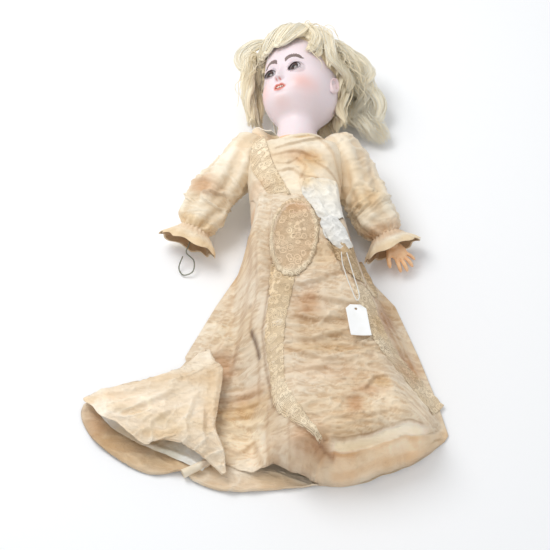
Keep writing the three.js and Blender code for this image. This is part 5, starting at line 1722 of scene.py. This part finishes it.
def add_lower_leg(side, knee, axes):
    sign = 1 if side == "left" else -1
    profile = np.array([[-7, 11, 11, 0], [-16, 16, 16, 0], [-45, 15.6, 16.6, -1], [-88, 10.4, 10.8, 0],
                        [-112, 10.4, 11.4, 0], [-121, 8, 9, 0]])
    path = np.column_stack([0 * profile[:, 0], profile[:, 0], profile[:, 3]])
    fine = np.linspace(0, 1, 50)
    line = spline(path, 50)
    radius = curve(np.linspace(0, 1, 6), profile[:, 1], fine)
    turn = math.radians(38) * sign
    spin = np.array([[math.cos(turn), 0, math.sin(turn)], [0, 1, 0], [-math.sin(turn), 0, math.cos(turn)]])
    shin = tube(line, radius, 36)
    foot = blob(spin @ np.array([0, 0, 18.5]) + [0, -111.5, 0], (11.6, 11.6, 26.5), spin)
    heel = blob((0, -110, 2), (10.5, 12, 11.5))
    points, faces, _ = gather([shin, foot, heel])
    leg = make(f"{side}_lower_leg", points @ axes.T + knee, faces, None, PAINTS["composition"],
               [f"{side}_lower_leg"])
    settle(leg, ("REMESH", {"mode": "VOXEL", "voxel_size": LEG_VOXEL, "use_smooth_shade": True}),
           ("SMOOTH", {"factor": .5, "iterations": 6}))
    remember(leg)
    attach(leg, f"{side}_shin")


def add_wire_loop():
    elbow, wrist = np.array([-101.0, 114, 42]), np.array([-127.0, 62, 25])
    axes = basis(wrist - elbow)
    reach = np.linalg.norm(wrist - elbow)
    y = -reach + 2
    route = [(1.5, y, 1), (2.5, y - 9, -1), (3, y - 17, -4), (15, y - 22, -7), (19, y - 34, -10),
             (10, y - 42, -11.5), (1, y - 36, -11), (0, y - 22, -7)]
    path = spline(route, 130) @ axes.T + elbow
    t = np.linspace(0, 1, 130)
    p, f, q = tube(path, .75 + .05 * np.sin(t * 90), 12)
    make("right_wire_loop", p, f, "right_wire", PAINTS["wire"], ["right_wire_loop"], fab=q)


# ---- wig ------------------------------------------------------------------
CAP_EDGE = [(0, 133), (.5, 131), (.8, 124), (1.05, 110), (1.3, 97), (1.7, 96), (1.9, 74), (2.2, 60),
            (3.15, 55)]
HAIR = [rgb(204, 178, 132), rgb(238, 220, 182), rgb(251, 240, 214), rgb(255, 251, 238)]  # deep to light


def scalp(turn, y, lift=0.0):
    """A point over the skull: turn goes round the head from its face to its left, y is its height."""
    depth, half, back = (float(curve(HEAD[:, 0], HEAD[:, k], y)) for k in (1, 2, 3))
    c, s = np.cos(turn), np.sin(turn)
    out = lift * smooth(158, 140, y)
    return from_head([(half + out) * s, y + lift * smooth(120, 158, y),
                      ((depth if c > 0 else back) + out) * c])


def lock(rng, line, wide, wave, cycles, strands=14, steps=26, tone=0.5, core=True):
    """One lock of hair: a soft flat body and the fine strands over it, which wave together."""
    line = spline(line, steps)
    t = np.linspace(0, 1, steps)
    _, side, rise = frames(line)
    phase = rng.uniform(0, 6.28)
    width = wide * (.3 + .7 * np.sin(np.pi * np.clip(t * .8 + .16, 0, 1)) ** .6) * smooth(1.06, .8, t)
    swing = wave * smooth(0, .25, t) * np.sin(cycles * 6.28 * t + phase)
    bob = .55 * wave * smooth(0, .25, t) * np.cos(cycles * 6.28 * t + phase)
    middle = line + side * swing[:, None] + rise * bob[:, None]
    middle[:, 2] = np.maximum(middle[:, 2], 1.2 + width * .45)
    p, f, q = tube(middle, np.maximum(width * .8, .15), 10, flat=.5)
    pieces = [(p, f, q * [6, 1, 1] + [rng.uniform(0, 60), 0, rng.uniform(0, 9)], tone * .8)] if core else []
    for _ in range(strands):
        angle = rng.uniform(0, 2 * np.pi)
        far = rng.uniform(.7 if core else .1, 1.15) + (rng.uniform() < .2) * .45
        own = rng.uniform(.1, .5) * np.sin(rng.uniform(5, 9) * t + rng.uniform(0, 6.28))[:, None]
        stray = rng.uniform(-1, 1, 3) * (t ** 2 * wide * .35)[:, None]
        path = middle + (side * (np.cos(angle + .8 * t) * far * width * .85)[:, None]
                         + rise * (np.sin(angle + .8 * t) * far * width * .5)[:, None]) + stray + side * own
        thickness = rng.uniform(.28, .6) * (1 - .8 * smooth(.6, 1.0, t))
        path[:, 2] = np.maximum(path[:, 2], thickness + .5)
        p, f, q = tube(path, thickness, 4)
        pieces.append((p, f, q + [rng.uniform(0, 60), 0, rng.uniform(0, 9)],
                       np.clip(tone + rng.uniform(-.3, .35), 0, 1)))
    return pieces


def lock_row(rng, count, wide, wave, cycles, strands, tones, course, core=True):
    """Locks side by side: course(f, g) is the line of one, f from 0 to 1 along the row and g by chance."""
    pieces = []
    for k in range(count):
        line = course(k / (count - 1), rng.uniform(-1, 1))
        bends = cycles if np.isscalar(cycles) else rng.uniform(*cycles)
        pieces += lock(rng, line, wide, wave, bends, strands, tone=rng.uniform(*tones), core=core)
    return pieces


def hair_colour(tone, count):
    """The colour of hair, from deep at tone 0 to light at 1, repeated for count points."""
    shades = np.array([shade[:3] for shade in HAIR])
    place = np.clip(tone, 0, 1) * (len(shades) - 1.001)
    k = int(place)
    return np.tile(mix(shades[k], shades[k + 1], place - k), (count, 1))


def crown_locks(rng):
    """The layer that covers the cap all round, from the crown down to the cap's edge."""
    pieces = []
    for turn in np.linspace(-np.pi, np.pi, 45)[:-1]:
        low = float(np.interp(abs(turn), *zip(*CAP_EDGE))) - 3
        sway = rng.uniform(-.12, .12)
        line = [scalp(turn * .4 + .3, 156, 3), scalp(turn * .8 + .1, 146, 6)]
        line += [scalp(turn + sway, mix(140, low, f), 6.5) for f in (.15, .5, 1)]
        pieces += lock(rng, line, rng.uniform(6.5, 8.5), 1.8, rng.uniform(1.2, 2.0), 12, tone=.62)
    return pieces


def face_locks(rng):
    """Curls over the brow and the waves that sweep past the temple."""
    lines = []
    for turn in np.linspace(-.85, .55, 12):
        tip = turn - .28 + rng.uniform(-.08, .08)
        lines.append(([scalp(turn * .5 + .35, 154, 5), scalp(turn + .2, 144, 11), scalp(turn, 129, 10),
                       scalp(tip, 119 + rng.uniform(-2, 3), 7), scalp(tip - .16, 125, 6)], 4.2, 1.4, .8))
    for k in range(7):
        f = k / 6
        lines.append(([scalp(.4, 156, 5), scalp(.55 + .25 * f, 146, 12),
                       scalp(.85 + .12 * f, 130 - 4 * f, 11),
                       scalp(.8 + .2 * f, 115 - 5 * f, 8 - 2 * f), scalp(.66 + .3 * f, 108 - 6 * f, 4.5)],
                      4.6, 1.6, .9))
    for k in range(8):
        f = k / 7
        lines.append(([scalp(.8, 152, 7), scalp(1.0 + .2 * f, 138, 12), scalp(1.15 + .1 * f, 118, 11 + 2 * f),
                       scalp(1.3 + .12 * f, 105, 9 + 3 * f), scalp(1.72 + .16 * f, 98 - 3 * f, 13 + 3 * f),
                       scalp(2.0 + .1 * f, 84, 10)], 4.8, 1.8, 1.0))
    for k in range(6):
        f = k / 5
        lines.append(([scalp(-.5, 154, 5), scalp(-.8 - .1 * f, 142, 12), scalp(-1.05 - .1 * f, 126, 14),
                       scalp(-1.15 - .1 * f, 112, 12), scalp(-1.3 - .1 * f, 100, 10)], 4.6, 1.6, 1.0))
    return [piece for line, wide, wave, cycles in lines
            for piece in lock(rng, line, wide, wave, cycles, 16, tone=rng.uniform(.6, .9))]


def right_locks(rng):
    """The long lock beside the right cheek and the loose curl that stands out above it."""
    pieces = lock_row(rng, 15, 6.2, 3.0, (1.3, 2.0), 16, (.45, .75), lambda f, g: [
        scalp(-1.2 - .6 * f, 128, 8), (-53 - 4 * f, 320 + 3 * g, 66 - 22 * f),
        (-58 + 3 * g, 294, 54 - 24 * f), (-58 + 8 * f, 266 + 3 * g, 44 - 20 * f),
        (-54 + 5 * g + 8 * f, 240 - 4 * f, 32 - 14 * f)])
    # darker-toned hair close to the cheek: painted shade between the face and the long lock
    pieces += lock_row(rng, 12, 5.0, 2.0, 1.4, 12, (.15, .4), lambda f, g: [
        scalp(-1.5 - .5 * f, 112, 5), (-48 + 2 * g, 308, 40 - 10 * f), (-46 + 2 * g, 276, 32 - 10 * f),
        (-42 - 4 * f, 246 + 2 * g, 24 - 8 * f)])
    pieces += lock_row(rng, 12, 4.4, 1.0, 1.0, 14, (.7, .95), lambda f, g: [
        scalp(-1.0, 148, 8), (-46 + 4 * f, 352 - 7 * f + g, 60), (-66 + 8 * f + g, 342 - 6 * f, 56),
        (-73 + 9 * f + g, 328 + g, 52), (-66 + 4 * f, 314 + 4 * f + g, 50), (-56 + g, 322 - 8 * f, 54)])
    return pieces


def left_locks(rng):
    """The mass of big curls that spreads beside the left ear and over the shoulder."""
    pieces = []
    for k in range(26):  # from the crown outward and down
        f, g = (k % 13) / 12, rng.uniform(-1, 1)
        deep = k // 13
        reach = 82 + 14 * f
        line = [scalp(1.2 + .8 * f, 136 - 8 * deep, 9), (60 + 12 * f, 346 - 18 * f, 58 - 26 * deep),
                (reach + 3 * g, 326 - 12 * f, 44 - 24 * deep),
                (reach - 4 + 4 * g, 300 - 6 * f, 34 - 20 * deep),
                (reach + 12 + 3 * g, 284 - 8 * f, 26 - 14 * deep), (reach + 8 * g, 268, 20 - 10 * deep)]
        pieces += lock(rng, line, 6.2, 4.6, rng.uniform(1.4, 2.2), 20, tone=rng.uniform(.75, 1))
    # the lower mass that fills the hollow behind the curls
    pieces += lock_row(rng, 14, 8.0, 3.0, 1.2, 12, (.7, .9), lambda f, g: [
        (70 + 10 * f, 322 + 2 * g, 20), (82 + 10 * f, 300, 16), (78 + 22 * f, 278 + 2 * g, 13),
        (84 + 16 * f, 258, 10)])
    # the curls that roll over themselves at the outer edge
    pieces += lock_row(rng, 12, 6.2, 2.4, 1.3, 18, (.75, 1), lambda f, g: [
        (76 + 6 * g, 316 - 6 * f, 40), (96 + 4 * g, 300 - 10 * f, 36), (110 + 2 * g, 284 - 12 * f, 26),
        (106 + g, 266 - 8 * f, 18), (92 + g, 262 - 6 * f, 16), (84 + 3 * g, 272 - 6 * f, 22)])
    # loose hair that veils the curls
    pieces += lock_row(rng, 22, 6.5, 4.0, (1.4, 2.2), 14, (.7, 1), lambda f, g: [
        scalp(1.25 + .6 * f, 128 - 10 * f, 13), (72 + 14 * f, 330 - 20 * f, 50 - 14 * f),
        (86 + 16 * f, 302 - 8 * f + 5 * g, 40 - 10 * f), (84 + 20 * f, 276 + 5 * g, 32 - 8 * f),
        (76 + 30 * f, 254 + 6 * g, 24 - 6 * f)], core=False)
    # short waves behind and below the ear
    pieces += lock_row(rng, 12, 5.4, 2.8, 1.6, 14, (.6, .85), lambda f, g: [
        scalp(1.9 + .2 * f, 92, 7), (70 + 4 * g, 300 - 6 * f, 26 - 6 * f),
        (66 + 10 * f, 280 + 2 * g, 24 - 6 * f), (62 + 24 * f, 262 + 2 * g, 24 - 8 * f),
        (62 + 30 * f, 250 + 3 * g, 22 - 6 * f)])
    # thin pale ends that lie over the shoulder
    pieces += lock_row(rng, 14, 7.5, 3.0, 1.2, 26, (.75, 1), lambda f, g: [
        (66 + 20 * f, 266 + 4 * g, 24 - 4 * f), (76 + 20 * f, 252 + 5 * g, 22),
        (88 + 20 * f, 242 + 6 * g, 18), (94 + 26 * f, 228 + 6 * g, 11)], core=False)
    return pieces


def back_locks(rng):
    """The hair the head lies on."""
    pieces = []
    for k in range(16):
        turn, g = mix(2.1, 4.2, k / 15), rng.uniform(-1, 1)
        top = scalp(turn, 104, 5)
        low = scalp(turn, 58, 9)
        line = [scalp(turn, 138, 6), top, mix(top, low, .6), low, low + [8 * g, -20 + 4 * g, -4]]
        pieces += lock(rng, line, 8.0, 2.4, 1.6, 12, tone=.5)
    return pieces


def add_wig():
    rng = np.random.default_rng(11)
    pieces = crown_locks(rng) + face_locks(rng) + right_locks(rng) + left_locks(rng) + back_locks(rng)
    for k in range(90):  # loose single hairs
        side = 1 if k % 3 else -1
        root = scalp(side * rng.uniform(.6, 2.2), rng.uniform(110, 156), 11)
        away = np.array([side * rng.uniform(3, 12), rng.uniform(-12, 8), rng.uniform(-6, 6)])
        end = root + away * 1.4 + [side * 10, -rng.uniform(10, 34), -rng.uniform(2, 14)]
        pieces += lock(rng, [root, root + away, mix(root + away, end, .6) + [side * 4, 0, 3], end], .3,
                       2.5, 1.2, 1)
    points, faces, fab = gather([(p, f, q) for p, f, q, _ in pieces])
    points[:, 2] = np.maximum(points[:, 2], .7)
    tint = np.vstack([hair_colour(tone, len(p)) for p, _, _, tone in pieces])
    hair = make("mohair_wig", points, faces, "head", PAINTS["mohair"], ["mohair_wig"], fab=fab, tint=tint)
    turn, rise = np.meshgrid(np.linspace(-np.pi, np.pi, 97)[:-1], np.linspace(0, 1, 30), indexing="xy")
    y = mix(np.interp(np.abs(turn), *zip(*CAP_EDGE)), 158, rise)
    depth, half, back = (curve(HEAD[:, 0], HEAD[:, k], y) for k in (1, 2, 3))
    puff = 2.2 * smooth(0, .08, rise) + 1.0
    c, s = np.cos(turn), np.sin(turn)
    shut = np.minimum(1, np.sqrt((1 - rise) / .06))
    grid = np.stack([(half + puff) * s * shut, y + puff * smooth(130, 158, y),
                     (np.where(c > 0, depth, back) + puff) * c * shut], -1)
    points = from_head(grid.reshape(-1, 3))
    points[:, 2] = np.maximum(points[:, 2], .8)
    make("wig_cap", points, grid_faces(30, 96, True), "head", PAINTS["mohair"],
         tint=hair_colour(.1, len(points)), fab=np.stack([turn * 40, y, 0 * y], -1).reshape(-1, 3))
    return hair


add_hand()
add_limbs()
add_wire_loop()
add_wig()


# ---- the CAD pieces shown as they are -------------------------------------
def paint_shown_nodes():
    slots = {part["node"]: part["material_slot"] for part in frame["record"]["subparts"]}
    for name, node in frame["nodes"].items():
        if not node.hide_render:
            node.data.materials.clear()
            node.data.materials.append(PAINTS[slots[name]])


paint_shown_nodes()
